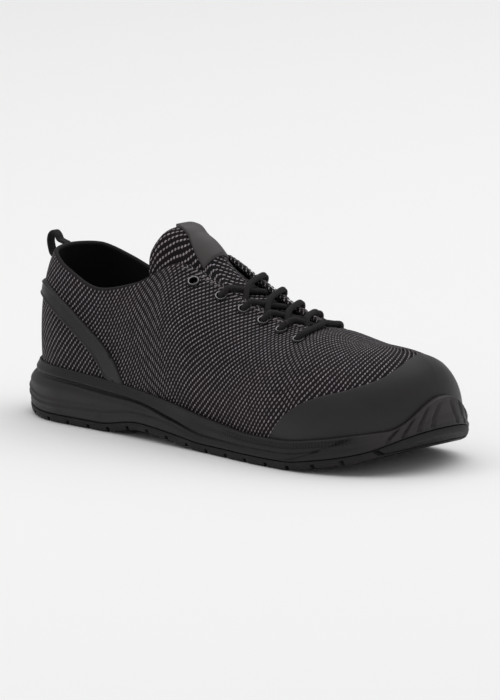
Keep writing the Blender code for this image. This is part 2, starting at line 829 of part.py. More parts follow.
def build_tongue_patch(parts):
    """The smooth patch over the tongue's upper middle."""
    first, last = angle(PATCH[0].station), angle(PATCH[-1].station)
    bm = bmesh.new()
    rows = []
    for theta in [first, *foot_angles(first + 0.02, last - 0.02), last]:
        place = station(theta)
        half = patch_at["half"](place)
        shares = [0.5 + half * k / 3 for k in range(-3, 4)]
        points = [tongue_point(theta, t) + tongue_normal(theta, t) * OVERLAY_GAP for t in shares]
        rows.append([bm.verts.new(p) for p in points])
    grid_faces(bm, rows, closed=False)
    bmesh.ops.reverse_faces(bm, faces=bm.faces)
    patch = new_object("tongue_patch", bm, parts)
    add_modifier(patch, "SOLIDIFY", thickness=PATCH_THICKNESS, offset=1)
    return finish("bonded_film", patch, FILM_BLACK, 0.55)


def build_pull_loop(parts):
    """The webbing loop at the back of the collar, from the heel's outside into the collar."""
    top = wall_point(0, 1)
    half = LOOP_THICKNESS / 2
    outside = OVERLAY_GAP + half
    bend = [(-0.80, -1.45), (-0.93, -0.65), (-0.97, 0.05), (-0.91, 0.68)]
    bend += [(-0.76, 1.0), (-0.60, 0.72), (-0.47, 0.20)]
    path = [wall_point(0, v) + wall_normal(0, v) * outside for v in (0.77, 0.82)]
    path += [top + Vector((x * LOOP_REACH, 0, z * LOOP_RISE)) for x, z in bend]
    path += [wall_point(0, v) + wall_normal(0, v) * outside for v in (0.975, 0.93)]
    bm = bmesh.new()
    rows = []
    for k, point in enumerate(path):
        before, after = path[max(k - 1, 0)], path[min(k + 1, len(path) - 1)]
        along = (after - before).normalized()
        across = Vector((0, 1, 0))
        normal = along.cross(across)
        corners = [(-1, -1), (-1, 1), (1, 1), (1, -1)]
        rows.append(
            [bm.verts.new(point + across * (a * LOOP_WIDTH / 2) + normal * (b * half)) for a, b in corners]
        )
    grid_faces(bm, rows, closed=True)
    bm.faces.new(rows[0])
    bm.faces.new(rows[-1])
    bmesh.ops.recalc_face_normals(bm, faces=bm.faces)
    loop = new_object("pull_loop", bm, parts)
    return finish("woven_webbing", loop, CORD_BLACK, 0.9)


def rounded_path(points, steps):
    """A path through points, eased between them."""
    ends = [2 * points[0] - points[1], *points, 2 * points[-1] - points[-2]]
    path = []
    for a, b, c, d in zip(ends, ends[1:], ends[2:], ends[3:]):
        for k in range(steps):
            t = k / steps
            path.append(
                b + (c - a) * (t / 2) + (2 * a - 5 * b + 4 * c - d) * (t * t / 2)
                + (3 * b - a - 3 * c + d) * (t**3 / 2)
            )
    return [*path, points[-1]]


def lace_mesh(name, points, collection):
    """A lace along a path, as a closed mesh."""
    curve = bpy.data.curves.new(name, "CURVE")
    curve.dimensions = "3D"
    curve.bevel_depth = LACE_DIAMETER / 2
    curve.bevel_resolution = 1
    curve.use_fill_caps = True
    spline = curve.splines.new("POLY")
    spline.points.add(len(points) - 1)
    for node, point in zip(spline.points, points):
        node.co = (*point, 1)
    made = bpy.data.objects.new(name, curve)
    collection.objects.link(made)
    bpy.context.view_layer.update()
    graph = bpy.context.evaluated_depsgraph_get()
    mesh = bpy.data.meshes.new_from_object(made.evaluated_get(graph))
    bpy.data.objects.remove(made)
    bm = bmesh.new()
    bm.from_mesh(mesh)
    bmesh.ops.remove_doubles(bm, verts=bm.verts, dist=1e-6)
    bmesh.ops.recalc_face_normals(bm, faces=bm.faces)
    return new_object(name, bm, collection)


def edge_beside(seat):
    """The column whose top edge is nearest to an eyelet, on the eyelet's side."""
    columns = [angle(0.40 + 0.002 * k) for k in range(181)]
    if seat.y > 0:
        columns = [2 * math.pi - a for a in columns]
    return min(columns, key=lambda a: abs(top_point(a).x - seat.x))


def lace_end(seat, clear):
    """Two points of a lace bar on one side: beside its eyelet, and over the eyestay's edge."""
    centre, normal = seat
    lift = LACE_DIAMETER / 2 + LACE_GAP
    edge = facet_point(edge_beside(centre), 1.0, LACE_DIAMETER / 2 + clear)
    edge.x = centre.x
    start = centre + normal * lift
    way = (edge - centre - normal * lift).normalized()
    return [start + way * (EYELET_FLANGE / 2 + 2 * LACE_GAP), edge]


def build_laces(parts, helpers):
    """The lace: a bar over each laced row, and between rows the strand that comes up to meet it."""
    seats = eyelet_seats()
    lift = LACE_DIAMETER / 2 + LACE_GAP
    for k in range(1, EYELET_COUNT):
        theta = edge_beside(seats[k][0])
        crossed = k < EYELET_COUNT - 1
        clear = LACE_GAP + (3 * GAP if crossed else 0.0)
        near = lace_end(seats[k], clear)
        far = lace_end(seats[k + EYELET_COUNT], clear)
        side = CROSSING_SIDE * LACE_DIAMETER if crossed else 0.0
        stacked = LACE_DIAMETER * 0.75 if crossed else 0.0
        height = max(tongue_point(theta, 0.5).z + lift + stacked, near[1].z)
        crossing = Vector((near[1].x - CROSSING_BACK * LACE_DIAMETER, side, height))
        bar = [*near, crossing, *reversed(far)]
        row = lace_mesh(f"lace_row_{k + 1}", rounded_path(bar, 2), parts)
        if crossed:
            low = crossing - Vector((0, 0, stacked))
            start = Vector((low.x + 1.3 * LACE_DIAMETER, far[1].y - 2 * LACE_DIAMETER, low.z - LACE_GAP))
            strand = [start, low + (start - low) * 0.3, low + Vector((0, -LACE_DIAMETER, LACE_GAP))]
            under = lace_mesh("lace_strand", strand, helpers)
            under.hide_render = True
            under.display_type = "WIRE"
            add_modifier(row, "BOOLEAN", object=under, operation="UNION")
        finish("woven_cord", row, CORD_BLACK, 0.85)


def clear_scene():
    """Removes what the startup file holds."""
    for obj in list(bpy.data.objects):
        bpy.data.objects.remove(obj)


def collection_named(name):
    """A new collection in the scene."""
    made = bpy.data.collections.new(name)
    bpy.context.scene.collection.children.link(made)
    return made


def centre_on_floor(parts, helpers):
    """Moves everything so that the origin is on the floor under the middle of the sole."""
    corners = [v.co for obj in parts.objects if obj.name in ("midsole", "outsole") for v in obj.data.vertices]
    low = Vector([min(c[n] for c in corners) for n in range(3)])
    high = Vector([max(c[n] for c in corners) for n in range(3)])
    shift = Vector(((low.x + high.x) / 2, (low.y + high.y) / 2, low.z))
    for obj in (*parts.objects, *helpers.objects):
        obj.location -= shift


def main():
    """Builds the sneaker."""
    clear_scene()
    parts = collection_named("safety_sneaker")
    helpers = collection_named("cutters")
    build_outsole(parts, helpers)
    build_midsole(parts)
    build_insole(parts)
    build_upper(parts, helpers)
    build_tongue(parts)
    build_tongue_patch(parts)
    build_toe_guard(parts)
    build_heel_strap(parts)
    build_heel_strip(parts)
    build_pull_loop(parts)
    build_eyelets(parts)
    build_laces(parts, helpers)
    centre_on_floor(parts, helpers)


main()
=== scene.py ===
"""Looks of a right-foot safety sneaker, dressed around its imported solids.

Toe towards +X, lateral side towards -Y, floor at z = 0, metres. The shoe's form is worked out again from the
same named sizes and short tables as the solids, at a finer pitch, so each dressed piece lies on its solid.
"""

from __future__ import annotations

import json
import logging
import math
from collections.abc import Callable, Sequence
from dataclasses import dataclass, field
from enum import Enum

import bmesh
import bpy
import numpy as np
from mathutils import Matrix, Vector

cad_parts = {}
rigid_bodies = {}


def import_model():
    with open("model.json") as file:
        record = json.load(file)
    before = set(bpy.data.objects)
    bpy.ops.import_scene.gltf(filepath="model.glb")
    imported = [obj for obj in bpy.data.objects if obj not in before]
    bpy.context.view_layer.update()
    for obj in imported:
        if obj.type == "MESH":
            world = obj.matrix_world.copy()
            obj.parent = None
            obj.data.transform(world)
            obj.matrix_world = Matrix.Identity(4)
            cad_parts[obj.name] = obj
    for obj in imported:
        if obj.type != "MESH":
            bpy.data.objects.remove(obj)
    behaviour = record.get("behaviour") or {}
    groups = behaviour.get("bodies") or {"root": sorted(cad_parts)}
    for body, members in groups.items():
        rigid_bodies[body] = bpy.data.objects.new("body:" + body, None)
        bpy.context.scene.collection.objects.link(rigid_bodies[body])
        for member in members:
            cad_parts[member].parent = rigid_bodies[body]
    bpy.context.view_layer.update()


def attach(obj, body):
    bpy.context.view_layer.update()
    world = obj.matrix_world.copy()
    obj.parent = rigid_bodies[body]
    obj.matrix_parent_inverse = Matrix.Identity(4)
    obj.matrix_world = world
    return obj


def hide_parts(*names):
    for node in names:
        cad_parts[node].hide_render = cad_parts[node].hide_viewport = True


log = logging.getLogger("sneaker")

Array = np.ndarray
Colour = tuple[float, float, float, float]
Material = bpy.types.Material
Object = bpy.types.Object
Socket = bpy.types.NodeSocket
TURN = 2 * math.pi
UP = np.array((0.0, 0.0, 1.0))
ACROSS = np.array((0.0, 1.0, 0.0))
SURFACE_UV = "Surface"
PLACE_UV = "Place"


def unit(vectors: Array) -> Array:
    """Vectors of length one, along the last axis."""
    return vectors / np.maximum(np.linalg.norm(vectors, axis=-1, keepdims=True), 1e-12)


def eased(x: Array | float, low: float, high: float) -> Array:
    """Rises from 0 at low to 1 at high, level at both ends."""
    t = np.clip((np.asarray(x, float) - low) / (high - low), 0.0, 1.0)
    return t * t * (3 - 2 * t)


def bell(x: Array, middle: Array | float, width: Array | float) -> Array:
    """1 at the middle, falling off smoothly on both sides."""
    return np.exp(-(((x - middle) / width) ** 2))


def round_end(share: Array, power: float = 2.0) -> Array:
    """Rises from 0 to 1 as the end of an oval does."""
    return (1 - np.maximum(0.0, 1 - share) ** power) ** (1 / power)


def run_length(points: Array, axis: int = 0) -> Array:
    """Length along rows or columns of points.

    Args:
        points: Points of any grid, with x, y and z last.
        axis: The axis to measure along.

    Returns:
        The length from the first point to each point.
    """
    steps = np.linalg.norm(np.diff(points, axis=axis), axis=-1)
    zero = np.zeros_like(np.take(steps, [0], axis=axis))
    return np.concatenate([zero, np.cumsum(steps, axis=axis)], axis=axis)


@dataclass(frozen=True)
class Table:
    """Rows of a station and named columns, read as smooth curves that never overshoot their rows."""

    columns: tuple[str, ...]
    rows: tuple[tuple[float, ...], ...]

    def at(self, column: str, station: Array | float) -> Array:
        """Reads one column as a curve.

        Args:
            column: The column's name.
            station: Where to read it.

        Returns:
            The curve's values.
        """
        xs = np.array([row[0] for row in self.rows])
        ys = np.array([row[1 + self.columns.index(column)] for row in self.rows])
        slopes = np.diff(ys) / np.diff(xs)
        before, after = slopes[:-1], slopes[1:]
        turning = before * after > 0
        inner = np.where(turning, 2 * before * after / np.where(turning, before + after, 1.0), 0.0)
        tangents = np.concatenate([slopes[:1], inner, slopes[-1:]])
        x = np.clip(np.asarray(station, float), xs[0], xs[-1])
        k = np.clip(np.searchsorted(xs, x, side="right") - 1, 0, len(xs) - 2)
        step = xs[k + 1] - xs[k]
        t = (x - xs[k]) / step
        return (
            ys[k] * (1 + 2 * t) * (1 - t) ** 2
            + ys[k + 1] * t * t * (3 - 2 * t)
            + tangents[k] * step * t * (1 - t) ** 2
            - tangents[k + 1] * step * t * t * (1 - t)
        )


FEATHER = Table(
    ("lateral", "medial", "middle"),
    (
        (0.00, 0.325, 0.325, 0.00),
        (0.14, 0.345, 0.340, 0.00),
        (0.30, 0.360, 0.320, 0.00),
        (0.44, 0.395, 0.305, 0.00),
        (0.58, 0.430, 0.370, 0.00),
        (0.70, 0.470, 0.455, 0.00),
        (0.80, 0.485, 0.500, 0.01),
        (0.90, 0.485, 0.500, 0.04),
        (1.00, 0.470, 0.470, 0.07),
    ),
)
TOPLINE = Table(
    ("along", "breadth", "instep", "toe", "medial", "lean", "flare", "low", "high"),
    (
        (0.00, 0.041, 0.225, 0.965, 0.00, 0.000, 30, 4, 0.34, 0.30),
        (0.06, 0.064, 0.248, 0.950, 0.00, 0.000, 26, 4, 0.34, 0.30),
        (0.14, 0.125, 0.285, 0.875, 0.00, 0.000, 12, 4, 0.36, 0.34),
        (0.26, 0.222, 0.310, 0.790, 0.00, 0.000, 4, 3, 0.38, 0.38),
        (0.36, 0.315, 0.280, 0.850, 0.00, 0.000, 24, 3, 0.42, 0.42),
        (0.45, 0.400, 0.180, 0.980, 0.00, 0.012, 48, 4, 0.50, 0.50),
        (0.49, 0.432, 0.152, 0.960, 0.00, 0.034, 57, 5, 0.52, 0.52),
        (0.58, 0.535, 0.125, 0.842, 0.00, 0.034, 65, 6, 0.54, 0.55),
        (0.68, 0.640, 0.100, 0.738, 0.00, 0.022, 72, 7, 0.56, 0.58),
        (0.74, 0.705, 0.065, 0.704, 0.00, 0.010, 80, 8, 0.58, 0.60),
        (0.78, 0.745, 0.000, 0.340, 0.58, 0.000, 90, 8, 0.60, 0.60),
        (0.86, 0.810, 0.000, 0.050, 0.97, 0.000, 90, 7, 0.64, 0.62),
        (0.92, 0.860, 0.000, 0.000, 1.05, 0.000, 90, 5, 0.68, 0.64),
        (1.00, 0.920, 0.000, 0.000, 1.05, 0.000, 90, 2, 0.76, 0.70),
    ),
)
SOLE = Table(
    ("spring", "arch", "rim", "flare", "groove", "depth"),
    (
        (0.00, 0.200, 0.0, 1.00, 1.00, 0.74, 0.60),
        (0.05, 0.030, 0.0, 1.00, 1.00, 0.74, 0.70),
        (0.10, 0.000, 0.0, 1.00, 1.00, 0.74, 0.80),
        (0.25, 0.000, 0.0, 0.94, 0.95, 0.70, 1.00),
        (0.37, 0.000, 1.0, 0.85, 1.00, 0.62, 1.00),
        (0.46, 0.000, 0.6, 0.76, 0.95, 0.45, 1.00),
        (0.56, 0.000, 0.0, 0.62, 0.90, 0.30, 0.45),
        (0.70, 0.000, 0.0, 0.505, 0.90, 0.34, 0.25),
        (0.77, 0.000, 0.0, 0.515, 0.90, 0.36, 0.25),
        (0.86, 0.180, 0.0, 0.62, 0.90, 0.40, 0.25),
        (0.93, 0.430, 0.0, 0.74, 0.95, 0.42, 0.25),
        (1.00, 1.000, 0.0, 0.85, 1.00, 0.45, 0.25),
    ),
)
TONGUE = Table(
    ("crown", "lean", "flat"),
    (
        (0.378, 0.265, -12, 3.6),
        (0.392, 0.280, -8, 3.4),
        (0.420, 0.235, 8, 3.0),
        (0.450, 0.170, 30, 2.6),
        (0.490, 0.135, 46, 2.3),
        (0.530, 0.048, 58, 2.0),
        (0.560, 0.004, 66, 2.0),
        (0.680, 0.000, 74, 2.0),
        (0.765, 0.000, 88, 2.0),
        (0.805, 0.000, 88, 2.0),
    ),
)
PATCH = Table(("half",), ((0.392, 0.05), (0.425, 0.17), (0.455, 0.28), (0.480, 0.36), (0.502, 0.42)))
GUARD = Table(
    ("edge",),
    (
        (0.738, 0.03),
        (0.750, 0.10),
        (0.780, 0.20),
        (0.820, 0.27),
        (0.860, 0.33),
        (0.912, 0.39),
        (0.953, 0.46),
        (0.975, 0.55),
        (0.993, 0.68),
        (1.000, 0.75),
    ),
)
STRAP = Table(
    ("low", "high"),
    (
        (0.000, 0.57, 0.68),
        (0.060, 0.58, 0.72),
        (0.100, 0.56, 0.73),
        (0.160, 0.48, 0.69),
        (0.200, 0.39, 0.63),
        (0.235, 0.27, 0.55),
        (0.260, 0.10, 0.46),
        (0.285, 0.05, 0.32),
        (0.312, 0.05, 0.08),
    ),
)


@dataclass(frozen=True)
class Dent:
    """A soft trough, or with a negative depth a ridge, worn or pressed into the upper."""

    station: float
    share: float
    side: int
    slope: float
    length: float
    width: float
    depth: float


DENTS = (
    Dent(0.40, 0.62, -1, 0.9, 0.060, 0.016, 0.0009),
    Dent(0.50, 0.45, -1, 0.5, 0.070, 0.022, 0.0007),
    Dent(0.66, 0.55, -1, 1.6, 0.040, 0.013, 0.0008),
    Dent(0.72, 0.42, -1, 1.8, 0.034, 0.010, 0.0006),
    Dent(0.46, 0.60, 1, 0.8, 0.060, 0.018, 0.0009),
    Dent(0.64, 0.50, 1, 1.5, 0.044, 0.014, 0.0008),
    Dent(0.24, 0.62, -1, -0.4, 0.040, 0.016, 0.0006),
    Dent(0.24, 0.62, 1, -0.4, 0.040, 0.016, 0.0006),
)


@dataclass(frozen=True)
class ShoeForm:
    """The shoe's surfaces from its driving sizes.

    Angles run round the foot: 0 at the heel's back, first along the lateral side, pi at the toe's tip. Shares
    run up the wall from the feather line at 0 to the top edge, or the vamp's ridge, at 1.
    """

    sole_length: float = 0.302
    ball_width: float = 0.100
    instep_height: float = 0.101
    toe_height: float = 0.0625
    heel_flare: float = 0.0075
    toe_flare: float = 0.0050
    side_flare: float = 0.0055
    band_outset: float = 0.0042
    heel_rim: float = 0.032
    bumper_rise: float = 0.015
    toe_spring: float = 0.020
    arch_lift: float = 0.0045
    outsole_thickness: float = 0.0045
    rim_overlap: float = 0.0055
    wall: float = 0.0024
    gap: float = 0.0003
    heel_round: float = 0.150
    toe_round: float = 0.215
    toe_squareness: float = 2.35
    ridge_spread: float = 0.6
    throat_end: float = 0.78
    tongue_clearance: float = 0.0020
    tip_blend: float = 0.05
    frame_shift: tuple[float, float, float] = (0.151, 0.0017, 0.0)
    eyelets: int = 6
    first_eyelet: float = 0.507
    last_eyelet: float = 0.777
    spread_top: float = 0.0210
    spread_end: float = 0.0187
    spread_waist: float = 0.0033

    @property
    def foot_length(self) -> float:
        """Length of the feather line."""
        return self.sole_length - self.heel_flare - self.toe_flare

    def placed(self, points: Array) -> Array:
        """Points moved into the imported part's frame."""
        return points - np.array(self.frame_shift)

    def station(self, theta: Array) -> Array:
        """Share of the foot's length at an angle."""
        return (1 - np.cos(theta)) / 2

    def angle(self, share: Array | float) -> Array:
        """The lateral angle of a share of the foot's length."""
        return np.arccos(1 - 2 * np.asarray(share, float))

    def side(self, theta: Array) -> Array:
        """-1 on the lateral side and 1 on the medial side."""
        return np.where(np.sin(theta) >= 0, -1.0, 1.0)

    def top_station(self, theta: Array) -> Array:
        """Where a wall's top lies along the top line, spread evenly round the ridge's end."""
        turn = 1 - np.abs(1 - np.mod(theta, TURN) / math.pi)
        u = np.maximum(0.0, 2 * turn - 1)
        start, end = math.pi / 2, self.ridge_spread
        spread = 0.5 + 0.5 * u * (start + u * ((3 - 2 * start - end) + u * (start + end - 2)))
        return np.where(turn < 0.5, self.station(theta), spread)

    def feather(self, theta: Array) -> Array:
        """The feather line, where upper and sole meet, seen from above."""
        s = self.station(theta)
        side = self.side(theta)
        breadth = np.where(side < 0, FEATHER.at("lateral", s), FEATHER.at("medial", s))
        breadth = breadth * round_end(s / self.heel_round)
        breadth = breadth * round_end((1 - s) / self.toe_round, self.toe_squareness)
        y = (FEATHER.at("middle", s) + side * breadth) * self.ball_width
        return np.stack([self.heel_flare + s * self.foot_length, y, np.zeros_like(s)], -1)

    def outward(self, theta: Array) -> Array:
        """The level direction out of the feather line."""
        along = self.feather(theta + 0.004) - self.feather(theta - 0.004)
        return unit(np.stack([along[..., 1], -along[..., 0], np.zeros_like(along[..., 0])], -1))

    def floor_lift(self, s: Array) -> Array:
        """Height of the tread's lowest surface above the floor."""
        return SOLE.at("spring", s) * self.toe_spring + SOLE.at("arch", s) * self.arch_lift

    def rim_height(self, theta: Array) -> Array:
        """Height of the sole's rim, with the toe bumper."""
        away = np.abs(math.pi - np.mod(theta, TURN))
        bumper = self.bumper_rise * 0.5 * (1 + np.cos(math.pi * np.minimum(1.0, away / 0.40)))
        return SOLE.at("rim", self.station(theta)) * self.heel_rim + bumper

    def bed(self, s: Array) -> Array:
        """Height of the midsole's bed."""
        return SOLE.at("rim", s) * self.heel_rim - self.rim_overlap

    def top(self, theta: Array) -> Array:
        """The upper's top edge or, beyond the throat, its ridge."""
        s = self.top_station(theta)
        side = self.side(theta)
        along = TOPLINE.at("along", s)
        breadth = TOPLINE.at("breadth", s) * round_end(s / self.heel_round)
        before = np.maximum(0.0, (self.throat_end - s) / 0.10)
        breadth = breadth * np.where(s < self.throat_end, round_end(before), 1.0)
        y = (FEATHER.at("middle", along) + side * breadth) * self.ball_width
        z = TOPLINE.at("instep", s) * self.instep_height + TOPLINE.at("toe", s) * self.toe_height
        z = z + np.where(side > 0, TOPLINE.at("medial", s), 0.0) * self.instep_height
        return np.stack([self.heel_flare + along * self.foot_length, y, z], -1)

    def wall_point(self, theta: Array, v: Array) -> Array:
        """The upper's outer face.

        Args:
            theta: Angles round the foot.
            v: Shares up the wall.

        Returns:
            Points, one for each angle and share.
        """
        theta, v = np.broadcast_arrays(np.asarray(theta, float), np.asarray(v, float))
        out = self.outward(theta)
        foot = self.feather(theta)
        foot[..., 2] = self.bed(self.station(theta)) + self.gap
        top = self.top(theta)
        rise = top[..., 2] - foot[..., 2]
        reach = ((foot - top) * out).sum(-1)
        place = self.top_station(theta)
        flare = np.radians(TOPLINE.at("flare", place))[..., None]
        lean = np.radians(TOPLINE.at("lean", place))[..., None]
        fullness = (TOPLINE.at("low", place) * rise)[..., None]
        low = foot + (UP * np.cos(flare) + out * np.sin(flare)) * fullness
        span = rise[..., None] * np.cos(lean) + reach[..., None] * np.sin(lean)
        high = top + (out * np.sin(lean) - UP * np.cos(lean)) * TOPLINE.at("high", place)[..., None] * span
        v = v[..., None]
        w = 1 - v
        return foot * w**3 + low * 3 * w * w * v + high * 3 * w * v * v + top * v**3

    def wall_normal(self, theta: Array, v: Array) -> Array:
        """Outward direction of the upper's outer face.

        Args:
            theta: Angles round the foot.
            v: Shares up the wall.

        Returns:
            Directions of length one.
        """
        theta, v = np.broadcast_arrays(np.asarray(theta, float), np.asarray(v, float))
        step = 0.004

        def across(turn: Array, share: Array) -> Array:
            """Normal from two small steps."""
            around = self.wall_point(turn + step, share) - self.wall_point(turn - step, share)
            upward = self.wall_point(turn, share + step) - self.wall_point(turn, share - step)
            return unit(np.cross(around, upward))

        def steady(turn: Array, share: Array) -> Array:
            """Normal that is blended over the tip, where both sides of the ridge run together."""
            wide = self.tip_blend
            away = np.mod(turn, TURN) - math.pi
            blend = np.clip((away + wide) / (2 * wide), 0, 1)[..., None]
            before, after = (across(np.full_like(turn, math.pi + way * wide), share) for way in (-1, 1))
            tip = unit(before * (1 - blend) + after * blend)
            return np.where((np.abs(away) < wide)[..., None], tip, across(turn, share))

        plain = steady(theta, np.clip(v, step, 1 - step))
        near_top = np.full_like(v, 1 - 4 * step)
        ridge = unit(steady(theta, near_top) + steady(-theta, near_top))
        on_ridge = (v > 1 - step) & (self.top_station(theta) >= self.throat_end)
        return np.where(on_ridge[..., None], ridge, plain)

    def on_wall(self, theta: Array, v: Array, lift: Array | float) -> Array:
        """Points lifted off the upper's outer face, or inside it with a negative lift."""
        return self.wall_point(theta, v) + self.wall_normal(theta, v) * np.asarray(lift)[..., None]

    def wall_share(self, theta: Array, height: Array) -> Array:
        """How far up the wall a height is reached."""
        low, high = np.zeros_like(theta), np.ones_like(theta)
        for _ in range(26):
            middle = (low + high) / 2
            below = self.wall_point(theta, middle)[..., 2] < height
            low, high = np.where(below, middle, low), np.where(below, high, middle)
        return low

    def widest(self, theta: Array) -> Array:
        """The sole's outset where it is widest."""
        s = self.station(theta)
        heel = np.maximum(0.0, 1 - s / self.heel_round)
        toe = np.maximum(0.0, 1 - (1 - s) / self.toe_round)
        full = self.side_flare + (self.heel_flare - self.side_flare) * heel
        full = full + (self.toe_flare - self.side_flare) * toe
        return full * SOLE.at("flare", s)

    def tongue_point(self, theta: Array, t: Array) -> Array:
        """The tongue's outer face: lateral edge at t = 0 and medial edge at t = 1."""
        theta, t = np.broadcast_arrays(np.asarray(theta, float), np.asarray(t, float))
        s = self.station(theta)
        depth = -(self.wall + self.tongue_clearance)
        near, far = (self.on_wall(turn, 1.0, depth) for turn in (theta, TURN - theta))
        crown = TONGUE.at("crown", s) * self.instep_height
        reach = crown * 4 / 3 * np.tan(np.radians(TONGUE.at("lean", s)))
        middle = (near + far) / 2
        handles = []
        for edge in (near, far):
            share = np.minimum(0.7, reach / np.linalg.norm(middle - edge, axis=-1))
            handles.append(edge + (middle - edge) * share[..., None])
        k = t[..., None]
        w = 1 - k
        level = near * w**3 + handles[0] * 3 * w * w * k + handles[1] * 3 * w * k * k + far * k**3
        rise = crown * (1 - np.abs(2 * t - 1) ** TONGUE.at("flat", s))
        return level + UP * rise[..., None]

    def tongue_normal(self, theta: Array, t: Array) -> Array:
        """Outward direction of the tongue's outer face."""
        along = self.tongue_point(theta + 0.01, t) - self.tongue_point(theta - 0.01, t)
        over = self.tongue_point(theta, t + 0.01) - self.tongue_point(theta, t - 0.01)
        return unit(np.cross(along, over))

    def eyelet_seats(self) -> tuple[Array, Array]:
        """Where the eyelets sit, from the collar down, lateral then medial.

        Returns:
            Their centres and their outward directions.
        """
        share = np.linspace(0.0, 1.0, self.eyelets)
        first, last = self.angle(self.first_eyelet), self.angle(self.last_eyelet)
        theta = first + (last - first) * share
        spread = self.spread_top + (self.spread_end - self.spread_top) * share
        spread = spread - self.spread_waist * 4 * share * (1 - share)
        levels = np.linspace(1.0, 0.4, 601)
        centres, normals = [], []
        for turns in (theta, TURN - theta):
            for turn, wanted in zip(turns, spread):
                reached = np.abs(self.wall_point(turn, levels)[:, 1]) >= wanted
                v = levels[int(np.argmax(reached))]
                centres.append(self.wall_point(turn, v))
                normals.append(self.wall_normal(turn, v))
        return np.array(centres), np.array(normals)


# Meshes


def linked(name: str, data: bpy.types.ID) -> Object:
    """A new object with its data, linked to the scene."""
    made = bpy.data.objects.new(name, data)
    bpy.context.scene.collection.objects.link(made)
    return made


def mesh_object(
    name: str, points: Array, quads: Array, uvs: dict[str, Array] | None = None, outward: bool = True
) -> Object:
    """A smooth mesh object, with its doubles merged.

    Args:
        name: The object's name.
        points: Its points, in the part's frame.
        quads: Its faces, as rows of four point numbers.
        uvs: UV maps by name, one pair for each point.
        outward: Whether to turn the faces outwards, which a closed form needs.

    Returns:
        The new object.
    """
    mesh = bpy.data.meshes.new(name)
    mesh.from_pydata(points.tolist(), [], quads.tolist())
    for label, uv in (uvs or {}).items():
        mesh.uv_layers.new(name=label).data.foreach_set("uv", uv[quads].astype(np.float32).ravel())
    bm = bmesh.new()
    bm.from_mesh(mesh)
    bmesh.ops.remove_doubles(bm, verts=bm.verts, dist=2e-6)
    bmesh.ops.dissolve_degenerate(bm, edges=bm.edges, dist=1e-7)
    if outward:
        bmesh.ops.recalc_face_normals(bm, faces=bm.faces)
    bm.to_mesh(mesh)
    bm.free()
    mesh.shade_smooth()
    return linked(name, mesh)


def grid_quads(rows: int, columns: int, start: int = 0) -> Array:
    """Faces between the neighbouring rows and columns of a grid of points."""
    index = start + np.arange(rows * columns).reshape(rows, columns)
    corners = [index[:-1, :-1], index[:-1, 1:], index[1:, 1:], index[1:, :-1]]
    return np.stack(corners, -1).reshape(-1, 4)


def sheet(name: str, points: Array, uvs: dict[str, Array], outward: bool = True) -> Object:
    """An object from a grid of points with x, y and z last, and UV maps of the same grid."""
    rows, columns = points.shape[:2]
    flat = {label: uv.reshape(-1, 2) for label, uv in uvs.items()}
    return mesh_object(name, points.reshape(-1, 3), grid_quads(rows, columns), flat, outward)


def two_faced(name: str, upper: Array, lower: Array, uvs: dict[str, Array]) -> Object:
    """A closed sheet from the grids of its two faces, which meet round the border."""
    r, c = upper.shape[:2]
    quads = np.concatenate([grid_quads(r, c), grid_quads(r, c, r * c)[:, ::-1]])
    flat = {label: np.concatenate([uv.reshape(-1, 2)] * 2) for label, uv in uvs.items()}
    return mesh_object(name, np.concatenate([upper.reshape(-1, 3), lower.reshape(-1, 3)]), quads, flat)


def closed_rings(rings: Array) -> Array:
    """Rings round the foot, closed below and above by the middle line between their two sides."""
    low, high = ((ring + ring[::-1]) / 2 for ring in (rings[0], rings[-1]))
    return np.concatenate([low[None], rings, high[None]])


def sweep_frames(path: Array) -> tuple[Array, Array]:
    """Two directions across a path that turn as little as they can along it.

    Args:
        path: The path's points.

    Returns:
        The first and the second direction at each point.
    """
    along = unit(np.gradient(path, axis=0))
    first = unit(np.cross(along[0], UP if abs(along[0][2]) < 0.9 else ACROSS))
    firsts = [first]
    for direction in along[1:]:
        first = unit(first - direction * float(first @ direction))
        firsts.append(first)
    firsts = np.array(firsts)
    return firsts, np.cross(along, firsts)


def tube(
    name: str,
    path: Array,
    radius: float | Array,
    sides: int = 12,
    across: Array | None = None,
    flatness: float = 1.0,
    squareness: float = 1.0,
) -> Object:
    """A closed tube, cord or flat web along a path, with its UV map along and around it.

    Args:
        name: The object's name.
        path: Its middle line, in the part's frame.
        radius: Half of its width, for the whole path or for each point.
        sides: Faces round it.
        across: The direction of its width, or None where it is round.
        flatness: Its thickness as a share of its width.
        squareness: Below 1, its section is squarer than an oval.

    Returns:
        The new object.
    """
    count = len(path)
    radii = np.broadcast_to(np.asarray(radius, float), (count,)).copy()
    first, second = sweep_frames(path)
    if across is not None:
        first = np.broadcast_to(across, path.shape)
        second = unit(np.cross(unit(np.gradient(path, axis=0)), first))
    turns = np.linspace(0, TURN, sides + 1)
    c, s = np.cos(turns), np.sin(turns)
    c, s = np.sign(c) * np.abs(c) ** squareness, np.sign(s) * np.abs(s) ** squareness
    rings = path[:, None] + first[:, None] * (radii[:, None] * c)[..., None]
    rings = rings + second[:, None] * (radii[:, None] * s * flatness)[..., None]
    ends = [np.broadcast_to(path[k], rings[0].shape) for k in (0, -1)]
    rings = np.concatenate([ends[0][None], rings, ends[1][None]])
    length = run_length(path)
    length = np.concatenate([length[:1], length, length[-1:]])
    around = turns * float(np.mean(radii))
    uv = np.stack(np.broadcast_arrays(length[:, None], around[None, :]), -1)
    return sheet(name, rings, {SURFACE_UV: uv})


